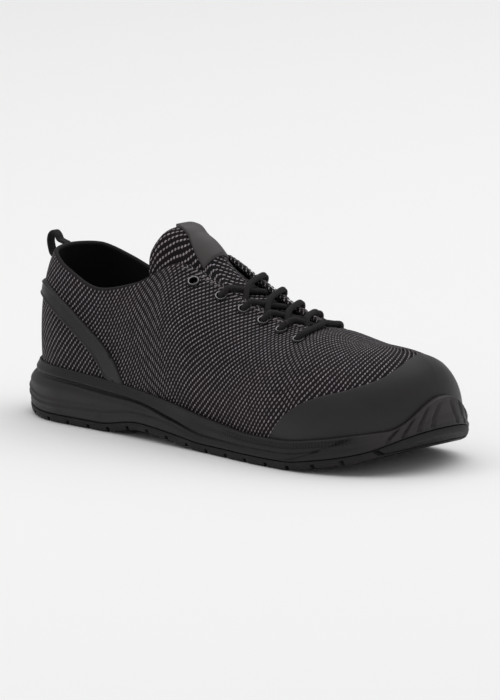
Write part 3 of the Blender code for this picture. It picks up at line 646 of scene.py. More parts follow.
def eased_path(points: Array, steps: int) -> Array:
    """A path through points, eased between them.

    Args:
        points: The points to pass through.
        steps: Points made for each stretch.

    Returns:
        The path's points.
    """
    ends = np.concatenate([[2 * points[0] - points[1]], points, [2 * points[-1] - points[-2]]])
    t = np.linspace(0, 1, steps, endpoint=False)[:, None]
    parts = []
    for a, b, c, d in zip(ends, ends[1:], ends[2:], ends[3:]):
        parts.append(
            b + (c - a) * (t / 2) + (2 * a - 5 * b + 4 * c - d) * (t**2 / 2)
            + (3 * b - a - 3 * c + d) * (t**3 / 2)
        )
    return np.concatenate([*parts, points[-1:]])


def padded_sheet(
    name: str,
    surface: Callable[[Array, Array], tuple[Array, Array]],
    rows: Array,
    columns: Array,
    thickness: Callable[[Array, Array], Array],
    uvs: dict[str, Array],
    sunk: float = 0.0,
) -> Object:
    """A closed sheet that lies on a surface, with both faces meeting round its border.

    Args:
        name: The object's name.
        surface: Gives points and outward directions for grids of rows and columns.
        rows: The grid's row values.
        columns: The grid's column values.
        thickness: Gives the sheet's thickness over the surface, which is 0 on the border.
        uvs: UV maps of the grid.
        sunk: How far the sheet's underside lies below the surface.

    Returns:
        The new object.
    """
    grid_columns, grid_rows = np.meshgrid(columns, rows)
    points, normals = surface(grid_rows, grid_columns)
    height = thickness(grid_rows, grid_columns)[..., None]
    lower = points - normals * np.where(height <= 1e-9, 0.0, sunk)
    return two_faced(name, points + normals * height, lower, uvs)


def rounded(away: Array, edge: float) -> Array:
    """A quarter round: 0 on a border, rising to 1 within an edge's width of it."""
    return np.sqrt(np.maximum(0.0, 1 - np.clip(1 - away / edge, 0.0, 1.0) ** 2))


def border_ramp(values: Array, length: float, edge: float) -> Array:
    """A quarter round over each end of a length, at shares of it."""
    return rounded(np.minimum(values, 1 - values) * length, edge)


def edged_shares(length: float, edge: float, middle: int) -> Array:
    """Shares along a length, closer together within an edge's width of both ends."""
    near = np.array((0.0, 0.06, 0.2, 0.45, 0.75, 1.0)) * edge / length
    return np.concatenate([near, np.linspace(near[-1], 1 - near[-1], middle)[1:-1], 1 - near[::-1]])


# Node trees


class NodeGraph:
    """Short calls for the nodes of one tree."""

    prefix = ""

    def __init__(self, tree: bpy.types.NodeTree) -> None:
        """Takes the tree that nodes are added to."""
        self.tree = tree

    def node(
        self, kind: str, inputs: dict[str | int, object] | None = None, **settings: object
    ) -> bpy.types.Node:
        """Adds a node.

        Args:
            kind: The node's type, without the graph's prefix.
            inputs: Numbers or sockets by input name or number.
            settings: The node's own settings.

        Returns:
            The new node.
        """
        made = self.tree.nodes.new(self.prefix + kind)
        for key, value in settings.items():
            setattr(made, key, value)
        for key, value in (inputs or {}).items():
            self.feed(made.inputs[key], value)
        return made

    def feed(self, socket: Socket, value: object) -> None:
        """Links a socket to another, or sets its value."""
        source = value.socket if isinstance(value, Value) else value
        if isinstance(source, bpy.types.NodeSocket):
            self.tree.links.new(source, socket)
        else:
            socket.default_value = source


@dataclass(frozen=True, eq=False)
class Value:
    """A number that a tree's nodes work out. Sums of values add Math nodes."""

    graph: NodeGraph
    socket: Socket

    def math(self, operation: str, other: Value | float = 0.0) -> Value:
        """The result of a Math node for this number and another."""
        made = self.graph.node("Math", {0: self, 1: other}, operation=operation)
        return Value(self.graph, made.outputs[0])

    def __add__(self, other: Value | float) -> Value:
        """The sum."""
        return self.math("ADD", other)

    def __sub__(self, other: Value | float) -> Value:
        """The difference."""
        return self.math("SUBTRACT", other)

    def __mul__(self, other: Value | float) -> Value:
        """The product."""
        return self.math("MULTIPLY", other)

    def __truediv__(self, other: Value | float) -> Value:
        """The quotient."""
        return self.math("DIVIDE", other)

    def __pow__(self, other: float) -> Value:
        """The power."""
        return self.math("POWER", other)


class ShaderTree(NodeGraph):
    """Short names for the shader nodes that the finishes use."""

    prefix = "ShaderNode"

    def __init__(self, name: str) -> None:
        """Starts a material with an empty shader and its output."""
        self.material = bpy.data.materials.new(name)
        self.material.use_nodes = True
        super().__init__(self.material.node_tree)

    def ramp(self, value: Value, low: float, high: float, start: float = 0.0, end: float = 1.0) -> Value:
        """A value eased from start to end as it goes from low to high."""
        inputs = {"Value": value, "From Min": low, "From Max": high, "To Min": start, "To Max": end}
        return Value(self, self.node("MapRange", inputs, interpolation_type="SMOOTHSTEP").outputs["Result"])

    def noise(self, where: Socket, scale: float, detail: float = 3.0, roughness: float = 0.5) -> Value:
        """A noise value between 0 and 1."""
        inputs = {"Vector": where, "Scale": scale, "Detail": detail, "Roughness": roughness}
        return Value(self, self.node("TexNoise", inputs).outputs["Fac"])

    def blend(self, share: Value, a: Socket | Colour, b: Socket | Colour) -> Socket:
        """A colour between two, by a share."""
        return self.node("Mix", {0: share, 6: a, 7: b}, data_type="RGBA").outputs[2]

    def surface(self, label: str = SURFACE_UV) -> tuple[Value, Value]:
        """The two numbers of a UV map, in metres or shares."""
        parts = self.node("SeparateXYZ", {0: self.node("UVMap", uv_map=label).outputs["UV"]})
        return Value(self, parts.outputs[0]), Value(self, parts.outputs[1])

    def place(self) -> Socket:
        """Object coordinates, in metres."""
        return self.node("TexCoord").outputs["Object"]

    def bump(self, height: Value, distance: float, below: Socket | None = None) -> Socket:
        """A bump's normal, over another bump's where one is given."""
        over = {} if below is None else {"Normal": below}
        return self.node("Bump", {"Height": height, "Distance": distance, **over}).outputs["Normal"]

    def done(self, **sockets: object) -> Material:
        """Feeds the shader's inputs, named with underscores, and returns the material."""
        shader = self.tree.nodes["Principled BSDF"]
        for key, value in sockets.items():
            self.feed(shader.inputs[key.replace("_", " ")], value)
        return self.material


def shade(value: float, warm: float = 0.12) -> Colour:
    """A grey with a slight warm cast."""
    return (value * (1 + warm), value * (1 - warm / 8), value, 1.0)


# Finishes


@dataclass(frozen=True)
class Finish:
    """A material that is made when it is needed."""

    name: str

    def build(self) -> Material:
        """Makes the material."""
        raise NotImplementedError


@dataclass(frozen=True)
class KnitFinish(Finish):
    """A knit of slanted light stitches in columns over a black ground."""

    stitch_pitch: float = 0.0028
    row_pitch: float = 0.00205
    stitch_length: float = 0.0021
    stitch_width: float = 0.00092
    slant: float = 1.14
    ground: float = 0.0030
    yarn: float = 0.34
    depth: float = 0.00045
    sway: float = 0.0008

    def build(self) -> Material:
        """Makes the material, which reads metres from the surface's UV map."""
        t = ShaderTree(self.name)
        u, v = t.surface()
        where = t.place()
        row = v / self.row_pitch
        number = row.math("FLOOR")
        u = u + (t.noise(where, 55.0, 2.0) - 0.5) * self.sway
        column = u / self.stitch_pitch + number.math("PINGPONG", 1.0) * 0.5
        x = (column.math("FRACT") - 0.5) * self.stitch_pitch
        y = (row.math("FRACT") - 0.5) * self.row_pitch
        c, s = math.cos(self.slant), math.sin(self.slant)
        far = (x * c + y * s) / (self.stitch_length / 2)
        wide = (y * c - x * s) / (self.stitch_width / 2)
        size = far**2.0 + wide**2.0
        cell = t.node("CombineXYZ", {0: number, 1: column.math("FLOOR")}).outputs[0]
        each = Value(t, t.node("TexWhiteNoise", {"Vector": cell}, noise_dimensions="2D").outputs["Value"])
        fibre = t.noise(where, 2600.0, 3.0, 0.7)
        patchy = t.ramp(t.noise(where, 28.0, 3.0), 0.30, 0.72)
        cool = t.blend(patchy, (self.yarn * 1.04, self.yarn * 0.94, self.yarn * 1.08, 1), shade(self.yarn))
        pale = t.blend(each * 0.55 + fibre * 0.6, shade(self.yarn * 0.25), cool)
        tint = t.ramp(t.noise(where, 17.0, 2.0), 0.42, 0.66)
        ground = t.blend(tint, shade(self.ground), (self.ground * 2.2, self.ground, self.ground * 1.8, 1))
        ground = t.blend(fibre * 0.35, ground, shade(self.ground * 4))
        height = t.ramp(size, 1.7, 0.0) + fibre * 0.22
        return t.done(
            Base_Color=t.blend(t.ramp(size, 1.25, 0.35), ground, pale), Normal=t.bump(height, self.depth),
            Roughness=t.ramp(fibre, 0.2, 0.8, 0.72, 0.95), Specular_IOR_Level=0.18,
            Sheen_Weight=0.02, Sheen_Roughness=0.5,
        )


@dataclass(frozen=True)
class FilmFinish(Finish):
    """A smooth matte film bonded over the knit."""

    tone: float = 0.0143
    gloss_low: float = 0.42
    gloss_high: float = 0.58
    grain: float = 0.00003

    def build(self) -> Material:
        """Makes the material."""
        t = ShaderTree(self.name)
        where = t.place()
        cloud = t.noise(where, 40.0, 4.0, 0.6)
        rubbed = t.ramp(t.noise(where, 130.0, 5.0, 0.7), 0.60, 0.80)
        colour = t.blend(cloud, shade(self.tone * 0.9), shade(self.tone * 1.12, 0.15))
        colour = t.blend(rubbed * 0.35, colour, shade(self.tone * 1.7))
        normal = t.bump(t.noise(where, 60.0, 3.0), 0.0004, t.bump(t.noise(where, 3800.0, 2.0), self.grain))
        return t.done(
            Base_Color=colour, Roughness=t.ramp(cloud, 0.3, 0.7, self.gloss_low, self.gloss_high),
            Normal=normal, Specular_IOR_Level=0.36,
        )


@dataclass(frozen=True)
class FoamFinish(Finish):
    """Moulded foam with a satin skin, fine hatching at the forefoot's side with painted shade in its grooves,
    light scuffs low down, and painted highlights on the heel wedge and the toe bumper.
    """

    tone: float = 0.0125
    hatch_pitch: float = 0.0019
    hatch_low: float = 0.60
    hatch_high: float = 0.86

    def build(self) -> Material:
        """Makes the material, which reads the station and height share from a second UV map."""
        t = ShaderTree(self.name)
        where = t.place()
        u, _ = t.surface()
        station, share = t.surface(PLACE_UV)
        cloud = t.noise(where, 30.0, 4.0, 0.6)
        colour = t.blend(cloud, shade(self.tone * 0.92), shade(self.tone * 1.15))
        # Painted highlights: the heel wedge and the toe bumper get a lighter tone, standing in for the light
        # they catch.
        wedge = t.ramp(station, 0.50, 0.20) * t.ramp(share, 0.90, 0.35)
        bumper = t.ramp(station, 0.90, 0.975) * t.ramp(share, 0.05, 0.30)
        worn = t.ramp(t.noise(where, 150.0, 6.0, 0.75), 0.58, 0.74)
        scuff = worn * (t.ramp(share, 0.45, 0.02) * 0.55)
        band = t.ramp(share, self.hatch_low, self.hatch_low + 0.05)
        band = band * t.ramp(share, self.hatch_high, self.hatch_high - 0.05)
        run = t.ramp(station, 0.60, 0.64) * t.ramp(station, 0.93, 0.90)
        # The hatch's grooves are also painted darker: painted shade in the recesses.
        hatch = t.ramp((u * (TURN / self.hatch_pitch)).math("SINE"), -0.2, 0.6) * band * run
        # Blends in turn: painted highlights on wedge and bumper, lighter scuffs low down, painted shade in
        # the hatch's grooves.
        for amount, tone in ((wedge * 0.8, 1.9), (bumper * 0.8, 2.3), (scuff, 2.6), (hatch * 0.5, 0.45)):
            colour = t.blend(amount, colour, shade(self.tone * tone))
        skin = t.bump(t.noise(where, 2200.0, 3.0, 0.6), 0.00005)
        return t.done(
            Base_Color=colour, Roughness=t.ramp(cloud, 0.3, 0.7, 0.44, 0.58),
            Normal=t.bump(hatch * -1.0, 0.0006, skin), Specular_IOR_Level=0.30,
        )


@dataclass(frozen=True)
class RubberFinish(Finish):
    """Black tread rubber with a dry bloom and dust in its grain."""

    tone: float = 0.010

    def build(self) -> Material:
        """Makes the material."""
        t = ShaderTree(self.name)
        where = t.place()
        grain = t.noise(where, 1500.0, 4.0, 0.65)
        bloom = t.ramp(t.noise(where, 70.0, 5.0, 0.7), 0.50, 0.75)
        return t.done(
            Base_Color=t.blend(bloom * 0.6, shade(self.tone), shade(self.tone * 2.6)),
            Roughness=t.ramp(grain, 0.3, 0.7, 0.55, 0.75), Normal=t.bump(grain, 0.00012),
            Specular_IOR_Level=0.30,
        )


@dataclass(frozen=True)
class WeaveFinish(Finish):
    """A woven or braided textile: two sets of ribs that cross at a slant over its surface, with painted
    highlights on their crests and painted shade between them.
    """

    tone: float = 0.0065
    # Tone of the painted highlight on the ribs' crests.
    highlight: float = 0.034
    pitch_along: float = 0.0016
    pitch_across: float = 0.0016
    slanted: bool = True
    depth: float = 0.00022

    def build(self) -> Material:
        """Makes the material, which reads metres from the surface's UV map."""
        t = ShaderTree(self.name)
        u, v = t.surface()
        a, b = u / self.pitch_along, v / self.pitch_across
        if self.slanted:
            a, b = a + b, a - b
        over = (a * TURN).math("SINE") * (b * TURN).math("SINE")
        fibre = t.noise(t.place(), 3000.0, 3.0, 0.7)
        # Painted highlight and shade: the ribs' crests are blended towards the highlight tone and the hollows
        # stay dark.
        light = t.ramp(over, -0.7, 0.9, 0.0, 0.75) + fibre * 0.25
        return t.done(
            Base_Color=t.blend(light, shade(self.tone), shade(self.highlight)),
            Roughness=t.ramp(fibre, 0.2, 0.8, 0.70, 0.92), Normal=t.bump(over + fibre * 0.6, self.depth),
            Specular_IOR_Level=0.20, Sheen_Weight=0.03, Sheen_Roughness=0.45,
        )


@dataclass(frozen=True)
class LiningFinish(Finish):
    """A smooth brushed textile, for the collar's lining and binding and the insole."""

    tone: float = 0.005
    pile: float = 0.00012
    sheen: float = 0.015

    def build(self) -> Material:
        """Makes the material."""
        t = ShaderTree(self.name)
        where = t.place()
        fuzz = t.noise(where, 1900.0, 4.0, 0.7)
        colour = t.blend(fuzz, shade(self.tone * 0.75), shade(self.tone * 1.5))
        colour = t.blend(t.noise(where, 60.0, 3.0) * 0.3, colour, shade(self.tone * 1.8))
        return t.done(
            Base_Color=colour, Roughness=t.ramp(fuzz, 0.3, 0.7, 0.78, 0.95), Normal=t.bump(fuzz, self.pile),
            Specular_IOR_Level=0.20, Sheen_Weight=self.sheen, Sheen_Roughness=0.4,
        )


@dataclass(frozen=True)
class EnamelFinish(Finish):
    """Dark enamelled metal, lighter in colour round its crest."""

    tone: float = 0.02
    crest_tone: float = 0.30

    def build(self) -> Material:
        """Makes the material, which reads the share across the ring from its UV map."""
        t = ShaderTree(self.name)
        _, share = t.surface()
        speck = t.noise(t.place(), 900.0, 4.0, 0.7)
        crest = t.ramp(share, 0.10, 0.26) * t.ramp(share, 0.62, 0.44)
        # Speckled lighter colour round the crest.
        worn = crest * t.ramp(speck, 0.20, 0.55)
        return t.done(
            Base_Color=t.blend(worn, shade(self.tone), shade(self.crest_tone, 0.03)), Metallic=0.55,
            Roughness=t.ramp(speck, 0.3, 0.7, 0.30, 0.46), Normal=t.bump(speck, 0.00002),
        )


@dataclass(frozen=True)
class YarnTone(Finish):
    """A single pale yarn, for stitches."""

    tone: float = 0.26

    def build(self) -> Material:
        """Makes the material."""
        t = ShaderTree(self.name)
        fibre = t.noise(t.place(), 4200.0, 3.0, 0.7)
        return t.done(
            Base_Color=t.blend(fibre, shade(self.tone * 0.45), shade(self.tone * 1.1)), Roughness=0.85,
            Normal=t.bump(fibre, 0.00008), Specular_IOR_Level=0.2,
        )


@dataclass(frozen=True)
class PlainFinish(Finish):
    """A matte surface with slight grain, for the floor."""

    tone: float = 0.9

    def build(self) -> Material:
        """Makes the material."""
        colour = shade(self.tone, 0.0)
        return ShaderTree(self.name).done(Base_Color=colour, Roughness=0.9, Specular_IOR_Level=0.1)


# Repeats


class RepeatTree(NodeGraph):
    """A Geometry Nodes tree that sets one shape at every point, turned to the point's own directions."""

    def __init__(self, name: str) -> None:
        """Builds the tree with its named inputs."""
        super().__init__(bpy.data.node_groups.new(name, "GeometryNodeTree"))
        for label, kind in (("Geometry", "Geometry"), ("Shape", "Object"), ("Size", "Float"),
                            ("Size Spread", "Float"), ("Seed", "Int"), ("Finish", "Material")):
            self.tree.interface.new_socket(label, in_out="INPUT", socket_type="NodeSocket" + kind)
        self.tree.interface.new_socket("Geometry", in_out="OUTPUT", socket_type="NodeSocketGeometry")
        given = self.node("NodeGroupInput").outputs
        shape = self.node("GeometryNodeObjectInfo", {"Object": given["Shape"]}).outputs["Geometry"]
        turned = {}
        for axis, pivot, label in (("Z", "AUTO", "facing"), ("X", "Z", "along")):
            read = self.node("GeometryNodeInputNamedAttribute", {"Name": label}, data_type="FLOAT_VECTOR")
            align = self.node(
                "FunctionNodeAlignRotationToVector", {"Vector": read.outputs["Attribute"], **turned},
                axis=axis, pivot_axis=pivot,
            )
            turned = {"Rotation": align.outputs["Rotation"]}
        smallest = self.node("ShaderNodeMath", {0: 1.0, 1: given["Size Spread"]}, operation="SUBTRACT")
        chance = self.node(
            "FunctionNodeRandomValue", {2: smallest.outputs[0], 3: 1.0, "Seed": given["Seed"]},
            data_type="FLOAT",
        )
        size = self.node("ShaderNodeMath", {0: given["Size"], 1: chance.outputs[1]}, operation="MULTIPLY")
        points = {"Points": given["Geometry"], "Instance": shape, "Scale": size.outputs[0], **turned}
        copies = self.node("GeometryNodeInstanceOnPoints", points).outputs["Instances"]
        real = self.node("GeometryNodeRealizeInstances", {"Geometry": copies}).outputs["Geometry"]
        paint = self.node("GeometryNodeSetMaterial", {"Geometry": real, "Material": given["Finish"]})
        self.node("NodeGroupOutput", {"Geometry": paint.outputs["Geometry"]})

    def spread(
        self,
        name: str,
        shape: Object,
        points: Array,
        facing: Array,
        along: Array,
        finish: Material,
        size_spread: float = 0.0,
        seed: int = 3,
    ) -> Object:
        """Sets a shape at every point and gives the result as one plain mesh.

        Args:
            name: The new object's name.
            shape: The shape to repeat, which is removed.
            points: Where to set it, in the part's frame.
            facing: The outward direction at each point, which the shape's Z follows.
            along: The direction that the shape's X follows.
            finish: The shape's material.
            size_spread: The most that a copy is smaller, as a share.
            seed: Seed of the sizes.

        Returns:
            The new object.
        """
        cloud = bpy.data.meshes.new(name)
        cloud.from_pydata(points.tolist(), [], [])
        for label, values in (("facing", facing), ("along", along)):
            attribute = cloud.attributes.new(label, "FLOAT_VECTOR", "POINT")
            attribute.data.foreach_set("vector", values.astype(np.float32).ravel())
        carrier = linked(name + "_points", cloud)
        modifier = carrier.modifiers.new("Repeat", "NODES")
        modifier.node_group = self.tree
        values = {"Shape": shape, "Size": 1.0, "Size Spread": size_spread, "Seed": seed, "Finish": finish}
        for item in self.tree.interface.items_tree:
            if item.in_out == "INPUT" and item.name in values:
                modifier[item.identifier] = values[item.name]
        mesh = evaluated_mesh(carrier)
        mesh.name = name
        for label in ("facing", "along"):
            if label in mesh.attributes:
                mesh.attributes.remove(mesh.attributes[label])
        for old in (carrier, shape):
            bpy.data.objects.remove(old)
        mesh.shade_smooth()
        return linked(name, mesh)


class Slot(Enum):
    """The record's material slots."""

    KNIT = "knit_textile"
    FILM = "bonded_film"
    FOAM = "moulded_foam"
    RUBBER = "tread_rubber"
    INSOLE = "insole_foam"
    CORD = "woven_cord"
    WEBBING = "woven_webbing"
    ENAMEL = "enamelled_metal"


def dressed(obj: Object, slot: Slot, finish: Material | None, *nodes: str) -> Object:
    """Gives a finished piece its material and its body, and hides the solids that it stands for.

    Args:
        obj: The piece.
        slot: The record's slot for the piece's finish, which is not used.
        finish: Its material, or None to keep those that it has.
        nodes: Names of the solids that it stands for.

    Returns:
        The same piece.
    """
    if finish is not None:
        obj.data.materials.clear()
        obj.data.materials.append(finish)
        obj.data.polygons.foreach_set("material_index", [0] * len(obj.data.polygons))
    if nodes:
        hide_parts(*nodes)
    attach(obj, "root")
    faces = sum(len(face.vertices) - 2 for face in obj.data.polygons)
    log.info("%s: %d triangles, stands for %s", obj.name, faces, ", ".join(nodes) or "no solid")
    return obj


def evaluated_mesh(obj: Object) -> bpy.types.Mesh:
    """An object's mesh with its modifiers applied."""
    bpy.context.view_layer.update()
    return bpy.data.meshes.new_from_object(obj.evaluated_get(bpy.context.evaluated_depsgraph_get()))


def carve(target: Object, name: str, bm: bmesh.types.BMesh) -> Object:
    """Gives an object a modifier that cuts some closed forms out of it, and returns the cutter."""
    mesh = bpy.data.meshes.new(name)
    bm.to_mesh(mesh)
    bm.free()
    cutter = linked(name, mesh)
    cut = target.modifiers.new(name, "BOOLEAN")
    cut.object, cut.operation, cut.solver = cutter, "DIFFERENCE", "EXACT"
    return cutter


def apply_cut(obj: Object, cutter: Object) -> None:
    """Turns an object's evaluated shape into its plain mesh, and removes its cutter."""
    mesh = evaluated_mesh(obj)
    obj.modifiers.clear()
    obj.data = mesh
    bpy.data.objects.remove(cutter)


def once(finish: Finish) -> Material:
    """A field that holds a finish's material, made with its owner."""
    return field(default_factory=finish.build)


@dataclass
class Finishes:
    """The shoe's materials, each made once."""

    knit: Material = once(KnitFinish("upper_knit"))
    tongue_knit: Material = once(
        KnitFinish("tongue_knit", 0.0034, 0.0023, 0.0025, 0.0010, yarn=0.42, ground=0.0030, depth=0.0006)
    )
    film: Material = once(FilmFinish("bonded_film"))
    patch: Material = once(FilmFinish("patch_film", tone=0.046))
    foam: Material = once(FoamFinish("moulded_foam"))
    rubber: Material = once(RubberFinish("tread_rubber"))
    lining: Material = once(LiningFinish("collar_lining"))
    binding: Material = once(LiningFinish("edge_binding", tone=0.013))
    insole: Material = once(LiningFinish("insole_cover", tone=0.014))
    cord: Material = once(WeaveFinish("lace_braid"))
    webbing: Material = once(WeaveFinish("loop_webbing", tone=0.007, highlight=0.022, slanted=False))
    enamel: Material = once(EnamelFinish("eyelet_enamel"))
    yarn: Material = once(YarnTone("whip_yarn"))


# Sub-assemblies


@dataclass
class Assembly:
    """A part of the shoe that is made from its form and its materials."""

    form: ShoeForm
    finishes: Finishes


@dataclass
class Upper(Assembly):
    """The knitted wall with its lining, bound collar edge and whipped eyestay edge."""

    columns: int = 330
    rows: int = 44
    binding_radius: float = 0.0013
    roll_radius: float = 0.00135
    binding_end: float = 0.47
    binding_slim: float = 0.72
    binding_fade: float = 0.08
    roll_start: float = 0.985
    hole_radius: float = 0.0029
    whip_half: float = 0.0015
    whip_radius: float = 0.00048
    whip_lift: float = 0.0004
    whip_slant: float = 0.7
    whip_pitch: float = 0.0034
    whip_end: float = 0.76
    whip_share: float = 0.975

    def relief(self, theta: Array, v: Array) -> Array:
        """How far the wall's dents sink it at angles and shares."""
        f = self.form
        station, side = f.station(theta), f.side(theta)
        sunk = np.zeros_like(theta)
        for dent in DENTS:
            x = (station - dent.station) * f.foot_length
            z = (v - dent.share) * 0.085
            length = math.hypot(1.0, dent.slope)
            along = (x + z * dent.slope) / length
            across = (z - x * dent.slope) / length
            fall = bell(along, 0.0, dent.length) * bell(across, 0.0, dent.width)
            sunk = sunk + dent.depth * fall * (side == dent.side)
        return sunk * eased(v, 0.12, 0.3) * eased(1 - v, 0.0, 0.12) * eased(np.sin(theta) ** 2, 0.0, 0.1)

    def knit_map(self, theta: Array, points: Array) -> Array:
        """The knit's UV map in metres: along the foot, and over it from the ridge down both sides.

        Args:
            theta: Angles of the grid, whose rows rise from the feather line.
            points: The grid's points.

        Returns:
            The UV map.
        """
        f = self.form
        length = run_length(points)
        over = f.side(theta) * (length[-1:] - length)
        half = theta.shape[1] // 2 + 1
        s = f.station(theta[0])
        around = run_length(points[len(points) // 2])
        around = (around + around[::-1].max() - around[::-1]) / 2
        around = np.minimum(around, around[::-1])
        x = points[..., 0]
        lateral = s[:half], (around - x[len(x) // 2])[:half]
        heel, toe = np.interp(0.30, *lateral), np.interp(0.70, *lateral)
        heel_share = 1 - eased(s, 0.05, 0.30)
        toe_share = eased(s, 0.70, 0.86)
        along = x * (1 - heel_share - toe_share)
        along = along + (around - heel) * heel_share + (around - toe) * toe_share
        return np.stack([along, over], -1)

    def build_wall(self) -> None:
        """Makes the hollow wall, outside, lining and rim, with a hole for each eyelet."""
        f = self.form
        turns = np.linspace(0, TURN, self.columns + 1)
        shares = np.linspace(0, 1, self.rows + 1)
        theta, v = np.meshgrid(turns, shares)
        points = f.wall_point(theta, v)
        uv = self.knit_map(theta, points)
        points = points - f.wall_normal(theta, v) * self.relief(theta, v)[..., None]
        wall = sheet("knit_wall", f.placed(points), {SURFACE_UV: uv}, outward=False)
        for finish in (self.finishes.knit, self.finishes.lining, self.finishes.binding):
            wall.data.materials.append(finish)
        thick = wall.modifiers.new("Thickness", "SOLIDIFY")
        thick.thickness, thick.offset = f.wall, -1
        thick.material_offset, thick.material_offset_rim = 1, 2
        apply_cut(wall, self.cut_holes(wall))
        dressed(wall, Slot.KNIT, None, "upper")

    def cut_holes(self, wall: Object) -> Object:
        """Cuts the eyelets' holes with cylinders, and returns the cutter."""
        bm = bmesh.new()
        for centre, normal in zip(*self.form.eyelet_seats()):
            made = bmesh.ops.create_cone(
                bm, cap_ends=True, segments=24, radius1=self.hole_radius, radius2=self.hole_radius,
                depth=self.form.wall * 4,
            )
            turn = Vector(UP).rotation_difference(Vector(normal)).to_matrix().to_4x4()
            place = Matrix.Translation(Vector(self.form.placed(centre)))
            bmesh.ops.transform(bm, matrix=place @ turn, verts=made["verts"])
        return carve(wall, "hole_cutter", bm)

    def edge(
        self,
        name: str,
        ends: tuple[float, float],
        count: int,
        sides: int,
        radius: float | Array,
        finish: Material,
    ) -> None:
        """Makes a roll along the middle of the wall's top edge.

        Args:
            name: The piece's name.
            ends: The angles where it starts and ends.
            count: Points along it.
            sides: Faces round it.
            radius: Its radius, for all of it or for each point.
            finish: Its material.
        """
        f = self.form
        path = f.placed(f.on_wall(np.linspace(*ends, count), 1.0, -f.wall / 2))
        dressed(tube(name, path, radius, sides), Slot.KNIT, finish)

    def build_edges(self) -> None:
        """Makes the collar's binding and the rolled edge of the eyestays."""
        f = self.form
        start = float(f.angle(self.binding_end))
        count = 220
        full = border_ramp(np.linspace(0, 1, count), 1.0, self.binding_fade)
        radii = self.binding_radius * (self.binding_slim + (1 - self.binding_slim) * full)
        self.edge("collar_binding", (-start, start), count, 14, radii, self.finishes.binding)
        turns = np.linspace(0, math.pi, 2001)
        first = start * self.roll_start
        last = float(turns[int(np.argmax(f.top_station(turns) >= f.throat_end))])
        for side, ends in (("lateral", (first, last)), ("medial", (TURN - first, TURN - last))):
            self.edge(f"eyestay_edge_{side}", ends, 110, 12, self.roll_radius, self.finishes.tongue_knit)

    def build_whips(self, repeat: RepeatTree) -> None:
        """Makes the pale whip stitches along the eyestays' edges."""
        f, share = self.form, self.whip_share
        lateral = np.linspace(float(f.angle(self.binding_end)), float(f.angle(self.whip_end)), 400)
        points, facing, along = [], [], []
        for turns in (lateral, TURN - lateral):
            length = run_length(f.wall_point(turns, share))
            at = np.interp(np.arange(0.0, length[-1], self.whip_pitch), length, turns)
            across = unit(f.wall_point(at, share) - f.wall_point(at, share - 0.02))
            down = unit(f.wall_point(at + 0.01, share) - f.wall_point(at - 0.01, share))
            points.append(f.on_wall(at, share, self.whip_lift))
            facing.append(f.wall_normal(at, share))
            along.append(unit(across + down * self.whip_slant))
        bead = bead_shape("whip_bead", self.whip_half, self.whip_radius)
        made = repeat.spread(
            "eyestay_stitches", bead, f.placed(np.concatenate(points)), np.concatenate(facing),
            np.concatenate(along), self.finishes.yarn, size_spread=0.25, seed=5,
        )
        dressed(made, Slot.KNIT, None)

    def build(self, repeat: RepeatTree) -> None:
        """Makes the wall, its edges and its stitches."""
        self.build_wall()
        self.build_edges()
        self.build_whips(repeat)


def bead_shape(name: str, half_length: float, radius: float) -> Object:
    """A small rounded stitch along X, with a few dozen faces."""
    share = np.linspace(-1, 1, 7)
    profile = radius * np.sqrt(np.maximum(0.05, 1 - (share * 0.95) ** 2))
    path = share[:, None] * np.array((half_length, 0.0, 0.0))
    path = path + UP * (radius * 0.3 - 0.25 * radius * share**2)[:, None]
    return tube(name, path, profile, 6)


